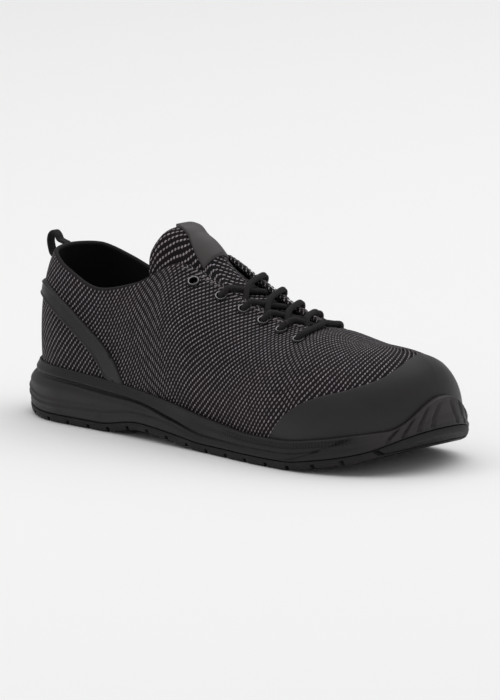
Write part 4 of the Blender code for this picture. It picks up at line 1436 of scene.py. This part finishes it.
@dataclass
class Films(Assembly):
    """The smooth films bonded over the knit: toe guard, heel strap with its piping, and heel strip."""

    lift: float = 0.0005
    thickness: float = 0.0008
    sunk: float = 0.0006
    edge: float = 0.0011
    strip_half: float = 0.126
    piping_radius: float = 0.0007
    piping_inset: float = 0.022

    def film(
        self, name: str, turns: Array, low: Array, high: Array, height: float, middle: int, node: str
    ) -> None:
        """Makes one film between two edges on the wall.

        Args:
            name: The piece's name.
            turns: Angles of its columns.
            low: Its lower edge's share at each angle.
            high: Its upper edge's share at each angle.
            height: Its usual height, in metres.
            middle: Rows between its edges.
            node: The solid that it stands for.
        """
        f = self.form
        shares = edged_shares(height, self.edge, middle)
        length = float(run_length(f.wall_point(turns, (low + high) / 2))[-1])
        span = (turns - turns[0]) / (turns[-1] - turns[0])
        ends = border_ramp(span, length, self.edge)

        def surface(rows: Array, columns: Array) -> tuple[Array, Array]:
            """Points just over the knit, and their normals."""
            v = np.interp(columns, turns, low) * (1 - rows) + np.interp(columns, turns, high) * rows
            return f.placed(f.wall_point(columns, v)), f.wall_normal(columns, v)

        def thickness(rows: Array, columns: Array) -> Array:
            """The film's height over the knit, rounded at its border."""
            ramp = border_ramp(rows, height, self.edge) * np.interp(columns, turns, ends)
            return (self.lift + self.thickness) * ramp

        uv = np.stack(np.meshgrid(span * length, shares * height), -1)
        made = padded_sheet(name, surface, shares, turns, thickness, {SURFACE_UV: uv}, self.sunk)
        dressed(made, Slot.FILM, self.finishes.film, node)

    def above_rim(self, turns: Array) -> Array:
        """Shares of the wall just above the sole's rim."""
        return self.form.wall_share(turns, self.form.rim_height(turns) - 0.0012)

    def build(self) -> None:
        """Makes the films."""
        f = self.form
        first = float(f.angle(GUARD.rows[0][0]))
        near = np.array((0.0, 0.002, 0.006))
        inner = np.linspace(first + 0.012, TURN - first - 0.012, 190)
        turns = np.concatenate([first + near, inner, TURN - first - near[::-1]])
        low = self.above_rim(turns)
        high = np.maximum(low + 0.03, GUARD.at("edge", f.station(turns)))
        self.film("guard_film", turns, low, high, 0.026, 26, "toe_guard")
        last = float(f.angle(STRAP.rows[-1][0]))
        turns = np.linspace(-last, last, 150)
        low = np.maximum(self.above_rim(turns), STRAP.at("low", f.station(turns)))
        high = np.maximum(low + 0.02, STRAP.at("high", f.station(turns)))
        self.film("strap_film", turns, low, high, 0.011, 8, "heel_strap")
        keep = slice(4, -4)
        inset = self.piping_inset
        for name, edge in (("strap_piping_upper", high - inset), ("strap_piping_lower", low + inset)):
            inner = np.clip(edge, 0.0, 1.0)
            path = f.placed(f.on_wall(turns[keep], inner[keep], self.lift + self.thickness * 0.75))
            dressed(tube(name, path, self.piping_radius, 8), Slot.FILM, self.finishes.film)
        turns = np.linspace(-self.strip_half, self.strip_half, 34)
        low = self.above_rim(turns)
        high = np.maximum(low + 0.02, np.maximum(low, STRAP.at("low", f.station(turns))) + 0.01)
        self.film("strip_film", turns, low, high, 0.036, 16, "heel_strip")


@dataclass
class Tongue(Assembly):
    """The padded tongue with its rounded edge, and the smooth bare patch on its front."""

    thickness: float = 0.0050
    wing: float = 0.14
    fill: float = 0.5
    border: float = 0.0028
    softness: float = 0.010
    patch_length: float = 0.030
    patch_width: float = 0.020
    patch_edge: float = 0.0012
    patch_height: float = 0.0015
    patch_sag: float = 0.009

    def surface(self, rows: Array, columns: Array) -> tuple[Array, Array]:
        """The tongue's outer face and its normals.

        Args:
            rows: Angles, from the free end down.
            columns: -1 to 0 over the lateral wing, 0 to 1 over the arch, 1 to 2 over the medial wing.

        Returns:
            Points and directions.
        """
        f = self.form
        depth = -(f.wall + f.tongue_clearance)
        arch = f.tongue_point(rows, np.clip(columns, 0, 1))
        left = f.on_wall(rows, 1 + np.minimum(columns, 0) * self.wing, depth)
        right = f.on_wall(TURN - rows, 1 - np.maximum(columns - 1, 0) * self.wing, depth)
        points = np.where((columns < 0)[..., None], left, np.where((columns > 1)[..., None], right, arch))
        for _ in range(6):
            points[:, 1:-1] = (points[:, :-2] + points[:, 2:]) / 4 + points[:, 1:-1] / 2
        return points, unit(np.cross(np.gradient(points, axis=0), np.gradient(points, axis=1)))

    def build_body(self) -> None:
        """Makes the padded body."""
        f = self.form
        first, last = (float(f.angle(TONGUE.rows[k][0])) for k in (0, -1))
        ease = np.concatenate([np.linspace(0, 0.06, 7)[:-1], np.linspace(0.06, 1, 60)])
        rows = first + (last - first) * ease
        wing = np.linspace(0, 1, 9)
        columns = np.concatenate([wing[:-1] - 1, np.linspace(0, 1, 61), wing[1:] + 1])
        grid_columns, grid_rows = np.meshgrid(columns, rows)
        points, normals = self.surface(grid_rows, grid_columns)
        down = run_length(points)
        over = run_length(points, axis=1)
        middle = over[:, over.shape[1] // 2][:, None]
        away = np.minimum(np.minimum(down, down[-1:] - down), np.minimum(over, over[:, -1:] - over))
        soft = 0.35 + 0.65 * eased(away, 0.0, self.softness)
        half = normals * (self.thickness / 2 * rounded(away, self.border) * soft)[..., None]
        centre = f.placed(points - normals * (self.thickness / 2))
        uv = np.stack([down, over - middle], -1)
        body = two_faced("padded_tongue", centre + half, centre - half, {SURFACE_UV: uv})
        dressed(body, Slot.KNIT, self.finishes.tongue_knit, "tongue")

    def build_patch(self) -> None:
        """Makes the bare patch."""
        f = self.form
        length, width, edge = self.patch_length, self.patch_width, self.patch_edge
        first, last = PATCH.rows[0][0], PATCH.rows[-1][0]
        rows, columns = edged_shares(length, edge, 26), edged_shares(width, edge, 22)

        def surface(down: Array, over: Array) -> tuple[Array, Array]:
            """Points on the tongue under the patch, and their normals."""
            place = first + (last - first) * down
            t = 0.5 + (over * 2 - 1) * PATCH.at("half", place)
            theta = f.angle(place + self.patch_sag * down**3 * (1 - (2 * t - 1) ** 2))
            return f.placed(f.tongue_point(theta, t)), f.tongue_normal(theta, t)

        def thickness(down: Array, over: Array) -> Array:
            """The patch's height, rounded at its border."""
            return self.patch_height * (border_ramp(down, length, edge) * border_ramp(over, width, edge))

        uv = np.stack(np.meshgrid(columns * width, rows * length), -1)
        made = padded_sheet("bare_patch", surface, rows, columns, thickness, {SURFACE_UV: uv}, sunk=0.0006)
        dressed(made, Slot.FILM, self.finishes.patch, "tongue_patch")

    def build(self) -> None:
        """Makes the tongue and its patch."""
        self.build_body()
        self.build_patch()


@dataclass
class Sole(Assembly):
    """The moulded midsole with its groove, ridges and toe ribs, the slotted outsole, and the insole."""

    columns: int = 660
    rows: int = 46
    groove_depth: float = 0.0024
    rib_depth: float = 0.0017
    rib_pitch: float = 0.0056
    seam_depth: float = 0.0008
    ridge_height: float = 0.0009
    bead_height: float = 0.0003
    hollow_depth: float = 0.0007
    foot_round: float = 0.0008
    band_taper: float = 0.55
    lug_pitch: float = 0.0165
    tread_slot: float = 0.0024
    tread_depth: float = 0.0026
    tread_start: float = 0.02
    tread_share: float = 0.94
    bar_pitch: float = 0.0085
    bar_radius: float = 0.0010
    bar_fill: float = 0.62
    insole_thickness: float = 0.0040
    insole_margin: float = 0.0012

    def ring(self, theta: Array, outset: Array, height: Array) -> Array:
        """Points round the sole at an outset from the feather line."""
        f = self.form
        points = f.feather(theta) + f.outward(theta) * outset[..., None]
        points[..., 2] = height
        return points

    def ribs(self, theta: Array, share: Array) -> Array:
        """Depth of the toe bumper's curved ribs."""
        f = self.form
        away = math.pi - theta
        along = away * math.sqrt(f.toe_round * f.foot_length * f.ball_width / 2)
        bow = 0.35 * share + 0.55 * share**2
        wave = np.cos(TURN * (np.abs(along) / self.rib_pitch + bow))
        fade = eased(np.abs(away), 0.46, 0.36) * eased(np.abs(along), 0.0, 0.004)
        ends = eased(share, 0.02, 0.16) * eased(share, 0.97, 0.80)
        return self.rib_depth * fade * ends * np.maximum(0.0, wave) ** 3

    def bumper_seam(self, theta: Array, share: Array) -> Array:
        """Depth of the seam that sweeps up from the tread to the rim, where the toe bumper starts."""
        s = self.form.station(theta)
        line = 0.02 + 1.05 * eased(s, 0.72, 0.965) ** 1.6
        width = 0.045 + 0.03 * eased(s, 0.85, 0.95)
        fade = eased(s, 0.74, 0.80) * eased(s, 0.975, 0.94)
        return self.seam_depth * bell(share, line, width) * fade

    def ridges(self, theta: Array, share: Array) -> Array:
        """Height of the twin ridge lines low on the heel wedge."""
        s = self.form.station(theta)
        raised = np.zeros_like(share)
        for level in (0.17, 0.29):
            line = level + 0.10 * eased(s, 0.10, 0.0) + 0.10 * eased(s, 0.12, 0.42)
            raised = raised + bell(share, line, 0.035)
        return self.ridge_height * raised * eased(0.50 - s, 0.0, 0.10)

    def side_outset(self, theta: Array, share: Array) -> Array:
        """The midsole's outset from the feather line at height shares.

        Args:
            theta: Angles round the foot.
            share: Shares of the way from the outsole to the rim.

        Returns:
            Outsets, before ribs and ridges.
        """
        f = self.form
        s = f.station(theta)
        wide = f.widest(theta)
        groove = SOLE.at("groove", s)
        depth = self.groove_depth * SOLE.at("depth", s) * eased(s, 0.93, 0.84)
        inward = eased((share - (groove - 0.22)) / 0.24, 0.0, 1.0)
        band = f.band_outset * (1 - self.band_taper * eased(share, groove + 0.02, 1.0) * eased(s, 0.55, 0.30))
        outset = wide * (1 - inward) + band * inward
        dip = bell(share, groove + 0.01, 0.045)
        ledge = eased(share, groove - 0.02, groove + 0.09) - 1.0
        return outset - depth * np.maximum(dip, -ledge * dip)

    def build_midsole(self) -> None:
        """Makes the midsole."""
        f = self.form
        turns = np.linspace(0, TURN, self.columns + 1)
        s = f.station(turns)
        base = f.floor_lift(s) + f.outsole_thickness + f.gap
        rim = f.rim_height(turns)
        shares = np.concatenate([[0.0, 0.02, 0.05], np.linspace(0.08, 0.95, self.rows)])
        theta, share = np.meshgrid(turns, shares)
        out = self.side_outset(theta, share) + self.ridges(theta, share) - self.ribs(theta, share)
        station = f.station(theta)
        fore = eased(station, 0.45, 0.62) * eased(station, 0.95, 0.88)
        out = out + self.bead_height * bell(share, 0.91, 0.03) * fore
        out = out - self.hollow_depth * bell(share, 0.74, 0.12) * fore - self.bumper_seam(theta, share)
        out = out - self.foot_round * eased(0.05 - share, 0.0, 0.05)
        side = self.ring(theta, out, base + (rim - base) * share)
        foot = f.bed(s) + 2 * f.gap
        inner, edge = f.on_wall(turns, f.wall_share(turns, np.maximum(rim, foot)), 0.0004), side[-1]
        crest = []
        for share_out, up in ((0.86, 0.980), (0.60, 0.997), (0.25, 1.0)):
            point = inner * (1 - share_out) + edge * share_out
            point[:, 2] = base + (rim - base) * up
            crest.append(point)
        for down, sunk in ((0.0, 0.0006), (0.25, 0.0), (0.6, 0.0), (1.0, 0.0)):
            level = rim + (f.bed(s) - rim) * down
            point = f.on_wall(turns, f.wall_share(turns, np.maximum(level, foot)), 0.0003)
            point[:, 2] = level - sunk
            crest.append(point)
        bottom = self.ring(turns, f.widest(turns) - 0.012, base)
        grid = closed_rings(np.concatenate([bottom[None], side, np.array(crest)]))
        around = run_length(self.ring(turns, np.zeros_like(turns), 0.0))
        surface = np.stack(np.broadcast_arrays(around[None], run_length(grid)), -1)
        level = np.clip((grid[..., 2] - base) / (rim - base), 0, 1)
        place = np.stack(np.broadcast_arrays(s[None], level), -1)
        made = sheet("foam_midsole", f.placed(grid), {SURFACE_UV: surface, PLACE_UV: place})
        dressed(made, Slot.FOAM, self.finishes.foam, "midsole")

    def build_outsole(self) -> None:
        """Makes the outsole with its slots and softened edges."""
        f = self.form
        turns = np.linspace(0, TURN, 241)
        lift, wide = f.floor_lift(f.station(turns)), f.widest(turns)
        levels = ((0.0022, 0.0), (0.0009, 0.12), (0.0004, 0.35), (0.0, 0.75), (0.0003, 1.0))
        rings = [self.ring(turns, wide - pull, lift + f.outsole_thickness * up) for pull, up in levels]
        grid = closed_rings(np.array(rings))
        uv = np.stack(np.broadcast_arrays(run_length(rings[2])[None], run_length(grid)), -1)
        plate = sheet("tread_plate", f.placed(grid), {SURFACE_UV: uv})
        cutter = self.cut_slots(plate)
        bevel = plate.modifiers.new("Soft edges", "BEVEL")
        bevel.width, bevel.segments, bevel.limit_method = 0.00035, 2, "ANGLE"
        bevel.angle_limit = math.radians(50)
        apply_cut(plate, cutter)
        plate.data.shade_smooth()
        dressed(plate, Slot.RUBBER, self.finishes.rubber, "outsole")

    def tread_rows(self, first: float, last: float) -> list[tuple[float, float, float]]:
        """The place along the sole, station and lift of each row of lugs between two stations."""
        f = self.form
        rows = []
        for k in range(1, int(f.sole_length * self.tread_share / self.lug_pitch) + 1):
            x = f.sole_length * self.tread_start + k * self.lug_pitch
            s = (x - f.heel_flare) / f.foot_length
            if first < s < last:
                rows.append((x, s, float(f.floor_lift(s))))
        return rows

    def cut_slots(self, plate: Object) -> Object:
        """Cuts the slots between the rows of lugs with boxes, and returns the cutter."""
        f = self.form
        bm = bmesh.new()
        size = np.array((self.tread_slot, f.ball_width * 2, self.tread_depth * 2))
        for x, s, lift in self.tread_rows(0.03, 0.97):
            slope = float(f.floor_lift(s + 0.01) - f.floor_lift(s - 0.01)) / (0.02 * f.foot_length)
            for vert in bmesh.ops.create_cube(bm, size=1.0)["verts"]:
                co = np.array(vert.co) * size
                co[0] -= co[2] * slope
                co[2] += co[0] * slope
                vert.co = f.placed(co + np.array((x, 0, lift)))
        return carve(plate, "slot_cutter", bm)

    def build_bars(self, repeat: RepeatTree) -> None:
        """Makes the fine bars that stand in the tread's slots and break them up from below."""
        f = self.form
        points = []
        for x, s, lift in self.tread_rows(0.06, 0.93):
            breadth = float(FEATHER.at("lateral", s)) * f.ball_width * 0.80
            middle = float(FEATHER.at("middle", s)) * f.ball_width
            for y in np.arange(-breadth, breadth, self.bar_pitch):
                points.append((x, middle + y, lift + self.tread_depth * self.bar_fill))
        places = f.placed(np.array(points))
        facing, along = (np.tile(way, (len(places), 1)) for way in ((0.0, 0.0, -1.0), (1.0, 0.0, 0.0)))
        bar = bead_shape("tread_bar", self.tread_slot * self.bar_fill, self.bar_radius)
        made = repeat.spread("tread_bars", bar, places, facing, along, self.finishes.rubber, 0.05, 11)
        dressed(made, Slot.RUBBER, None)

    def build_insole(self) -> None:
        """Makes the insole, cupped up a little at its border."""
        f = self.form
        turns = np.linspace(0, TURN, 181)
        bed = f.bed(f.station(turns)) + f.gap
        rows = []
        for pull, up in ((0.0, 0.0), (0.0, 0.6), (0.0007, 0.92), (0.0022, 1.0), (0.008, 0.93), (0.016, 0.86)):
            outset = np.full_like(turns, -(f.wall + self.insole_margin) - pull)
            rows.append(self.ring(turns, outset, bed + self.insole_thickness * up))
        grid = closed_rings(np.array(rows))
        made = sheet("insole_pad", f.placed(grid), {SURFACE_UV: grid[..., :2]})
        dressed(made, Slot.INSOLE, self.finishes.insole, "insole")

    def build(self, repeat: RepeatTree) -> None:
        """Makes midsole, outsole, tread bars and insole."""
        self.build_midsole()
        self.build_outsole()
        self.build_bars(repeat)
        self.build_insole()


@dataclass
class Lacing(Assembly):
    """The eyelets, and the lace that crosses the throat through them."""

    bore: float = 0.0048
    flange: float = 0.0074
    proud: float = 0.0008
    lace_radius: float = 0.0018
    sides: int = 14
    clear: float = 0.0006
    crossing_run: float = 0.0052
    dive_run: float = 0.0100

    def build_eyelets(self, repeat: RepeatTree) -> None:
        """Makes the rolled eyelets as one repeated ring."""
        f = self.form
        inner, outer = self.bore / 2, self.flange / 2
        roll = (outer - inner) / 2
        under, lip = -f.wall - 0.0004, inner + 0.0005
        profile = [(inner, under), (inner, 0.0)]
        for a in math.pi * (1 - np.arange(9) / 8):
            profile.append((inner + roll + roll * math.cos(a), self.proud * (0.15 + 0.85 * math.sin(a))))
        profile += [(outer, -0.0002), (lip, -0.0003), (lip, under), profile[0]]
        radius, height = np.array(profile).T[..., None]
        turns = np.linspace(0, TURN, 33)
        level = np.broadcast_to(height, (len(profile), len(turns)))
        points = np.stack([radius * np.cos(turns), radius * np.sin(turns), level], -1)
        share = np.where(height < 0, 0.0, np.clip((radius - inner) / (outer - inner), 0, 1))
        uv = np.stack(np.broadcast_arrays(turns[None] * outer, share), -1)
        ring = sheet("eyelet_ring", points, {SURFACE_UV: uv})
        centres, normals = f.eyelet_seats()
        places = f.placed(centres + normals * 0.0002)
        along = unit(np.cross(normals, ACROSS))
        made = repeat.spread("eyelets", ring, places, normals, along, self.finishes.enamel)
        nodes = [f"eyelet_{side}_{k + 1}" for side in ("lateral", "medial") for k in range(f.eyelets)]
        dressed(made, Slot.ENAMEL, None, *nodes)

    def edge_angle(self, x: float, side: int) -> float:
        """The angle at which the wall's top edge reaches a place along the foot."""
        f = self.form
        turns = np.linspace(float(f.angle(0.34)), math.pi * 0.93, 900)
        turn = float(np.interp(x, f.top(turns)[:, 0], turns))
        return turn if side < 0 else TURN - turn
    def strand(self, row: int, side: int, crossed: bool, above: float) -> Array:
        """The middle line of one strand, from inside its eyelet to where it dives under the far eyestay.

        Args:
            row: The row, counted from 0 at the collar.
            side: -1 where it starts on the lateral side, 1 on the medial side.
            crossed: Whether it dives under the far eyestay, and does not end at the far eyelet.
            above: How far it rides over the other strand where they cross.

        Returns:
            The path in the form's own frame.
        """
        f = self.form
        centres, normals = f.eyelet_seats()
        near = row if side < 0 else row + f.eyelets
        centre, normal = centres[near], normals[near]
        r = self.lace_radius
        inward = unit(np.array((0.25, -side * 1.0, 0.0)))
        inward = unit(inward - normal * float(inward @ normal))
        edge = f.on_wall(self.edge_angle(float(centre[0]) + 0.0018, side), 1.0, r + 0.0003) + UP * 0.0002
        points = [
            centre - normal * 0.0055 + inward * 0.0006,
            centre - normal * 0.0012,
            centre + normal * 0.0010 + inward * 0.0004,
            centre + normal * (r + self.clear) + inward * 0.0030,
            (centre + edge) / 2 + normal * (r + self.clear) / 2,
            edge,
        ]
        if not crossed:
            return np.array(points)
        x = float(centre[0]) + self.crossing_run
        turn = np.array(self.edge_angle(x, -1))
        ground = float(f.tongue_point(turn, 0.5)[2])
        crossing = np.array((x, 0.0, max(ground + r + 0.0002, float(f.top(turn)[2]) - 0.0006) + above))
        far_turn = np.array(self.edge_angle(float(centre[0]) + self.dive_run, -side))
        dive = f.on_wall(far_turn, 1.0, -(f.wall + r + 0.0004))
        share = 0.80 if side < 0 else 0.86
        height = crossing[2] * (1 - share) + dive[2] * share + r * 0.4
        approach = np.array((x + 0.0035, f.top(far_turn)[1] * 0.62, height))
        under = f.on_wall(far_turn + 0.02 * -side, 0.95, -(f.wall + r + 0.0008))
        return np.array([*points, crossing, approach, dive, under])

    def cord(self, name: str, path: Array, *nodes: str) -> None:
        """Makes one stretch of lace through points of the form's own frame."""
        made = tube(name, self.form.placed(eased_path(path, 10)), self.lace_radius, self.sides)
        dressed(made, Slot.CORD, self.finishes.cord, *nodes)

    def build_laces(self) -> None:
        """Makes the lace's strands, row by row."""
        last = self.form.eyelets - 1
        for row in range(1, last):
            self.cord(f"lace_lateral_{row + 1}", self.strand(row, -1, True, 0.0), f"lace_row_{row + 1}")
            self.cord(f"lace_medial_{row + 1}", self.strand(row, 1, True, 1.75 * self.lace_radius))
        near, far = (self.strand(last, side, False, 0.0) for side in (-1, 1))
        centre = (near[-1] + far[-1]) / 2 + UP * 0.0008
        path = np.concatenate([near, [centre], far[::-1]])
        self.cord(f"lace_bar_{last + 1}", path, f"lace_row_{last + 1}")

    def build(self, repeat: RepeatTree) -> None:
        """Makes eyelets and laces."""
        self.build_eyelets(repeat)
        self.build_laces()


@dataclass
class PullLoop(Assembly):
    """The narrow webbing loop at the back of the collar."""

    width: float = 0.0058
    thickness: float = 0.0018
    reach: float = 0.0160
    rise: float = 0.0056
    lift: float = 0.0007

    def build(self) -> None:
        """Makes the loop along the same path as its solid."""
        f = self.form
        top = f.wall_point(0.0, 1.0)
        outside = self.lift + self.thickness / 2
        bend = (
            (-0.80, -1.45), (-0.93, -0.65), (-0.97, 0.05), (-0.91, 0.68), (-0.76, 1.0), (-0.60, 0.72),
            (-0.47, 0.20),
        )
        path = [f.on_wall(0.0, v, outside) for v in (0.77, 0.82)]
        path += [top + np.array((x * self.reach, 0.0, z * self.rise)) for x, z in bend]
        path += [f.on_wall(0.0, v, outside) for v in (0.975, 0.93)]
        line = eased_path(f.placed(np.array(path)), 8)
        made = tube("webbing_loop", line, self.width / 2, 20, ACROSS, self.thickness / self.width, 0.45)
        dressed(made, Slot.WEBBING, self.finishes.webbing, "pull_loop")


@dataclass(frozen=True)
class Studio:
    """Camera, floor and soft light."""

    azimuth: float = 42.5
    elevation: float = 10.4
    distance: float = 3.2
    frame_height: int = 700
    pixels_per_metre: float = 1760.0
    target: tuple[float, float, float] = (0.0044, 0.0049, 0.0500)
    sensor: float = 36.0
    floor_radius: float = 14.0
    floor_tone: float = 0.95
    sky: float = 0.435

    def aimed(self, thing: Object, place: Vector) -> None:
        """Sets a camera or lamp in its place, looking at the shoe."""
        thing.location = place
        thing.rotation_mode = "QUATERNION"
        thing.rotation_quaternion = (Vector(self.target) - place).to_track_quat("-Z", "Y")

    def build_camera(self) -> None:
        """Makes the camera at the photograph's angle."""
        data = bpy.data.cameras.new("camera")
        data.sensor_fit, data.sensor_width = "AUTO", self.sensor
        data.lens = self.sensor * self.pixels_per_metre * self.distance / self.frame_height
        data.clip_start, data.clip_end = 0.05, 60.0
        a, e = math.radians(self.azimuth), math.radians(self.elevation)
        back = Vector((math.sin(a) * math.cos(e), -math.cos(a) * math.cos(e), math.sin(e)))
        camera = linked("camera", data)
        self.aimed(camera, Vector(self.target) + back * self.distance)
        bpy.context.scene.camera = camera

    def build_floor(self) -> None:
        """Makes the pale floor."""
        turns = np.linspace(0, TURN, 97)
        radii = np.array((0.0, 0.3, 1.0, 3.0, self.floor_radius))[:, None]
        x, y = radii * np.cos(turns), radii * np.sin(turns)
        points = np.stack([x, y, np.full_like(x, -0.0001)], -1)
        floor = sheet("floor", points, {SURFACE_UV: points[..., :2]}, outward=False)
        floor.data.materials.append(PlainFinish("paper_floor", self.floor_tone).build())

    def lamp(self, name: str, place: Sequence[float], size: float, watts: float) -> None:
        """Adds a square soft light that looks at the shoe."""
        data = bpy.data.lights.new(name, "AREA")
        data.shape, data.size, data.energy = "SQUARE", size, watts
        self.aimed(linked(name, data), Vector(place))

    def build_light(self) -> None:
        """Makes the pale sky and the lamps."""
        world = bpy.data.worlds.new("studio_sky")
        world.use_nodes = True
        sky = world.node_tree.nodes["Background"]
        sky.inputs["Color"].default_value = (1.0, 1.0, 1.0, 1.0)
        sky.inputs["Strength"].default_value = self.sky
        bpy.context.scene.world = world
        self.lamp("ceiling_light", (0.3, 1.2, 3.6), 6.0, 126.0)
        self.lamp("key_light", (-0.5, -0.9, 1.5), 0.9, 3.0)

    def build(self) -> None:
        """Makes camera, floor and light."""
        bpy.context.scene.view_settings.view_transform = "Standard"
        self.build_camera()
        self.build_floor()
        self.build_light()


def clear_startup() -> None:
    """Removes what the startup file holds."""
    for obj in list(bpy.data.objects):
        bpy.data.objects.remove(obj)


def main() -> None:
    """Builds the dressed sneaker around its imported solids."""
    logging.basicConfig(level=logging.INFO, format="%(name)s %(message)s")
    clear_startup()
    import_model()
    studio = Studio()
    studio.build()
    form = ShoeForm()
    finishes = Finishes()
    repeat = RepeatTree("repeat_shape")
    Sole(form, finishes).build(repeat)
    Upper(form, finishes).build(repeat)
    Films(form, finishes).build()
    Tongue(form, finishes).build()
    Lacing(form, finishes).build(repeat)
    PullLoop(form, finishes).build()


if __name__ == "__main__":
    main()
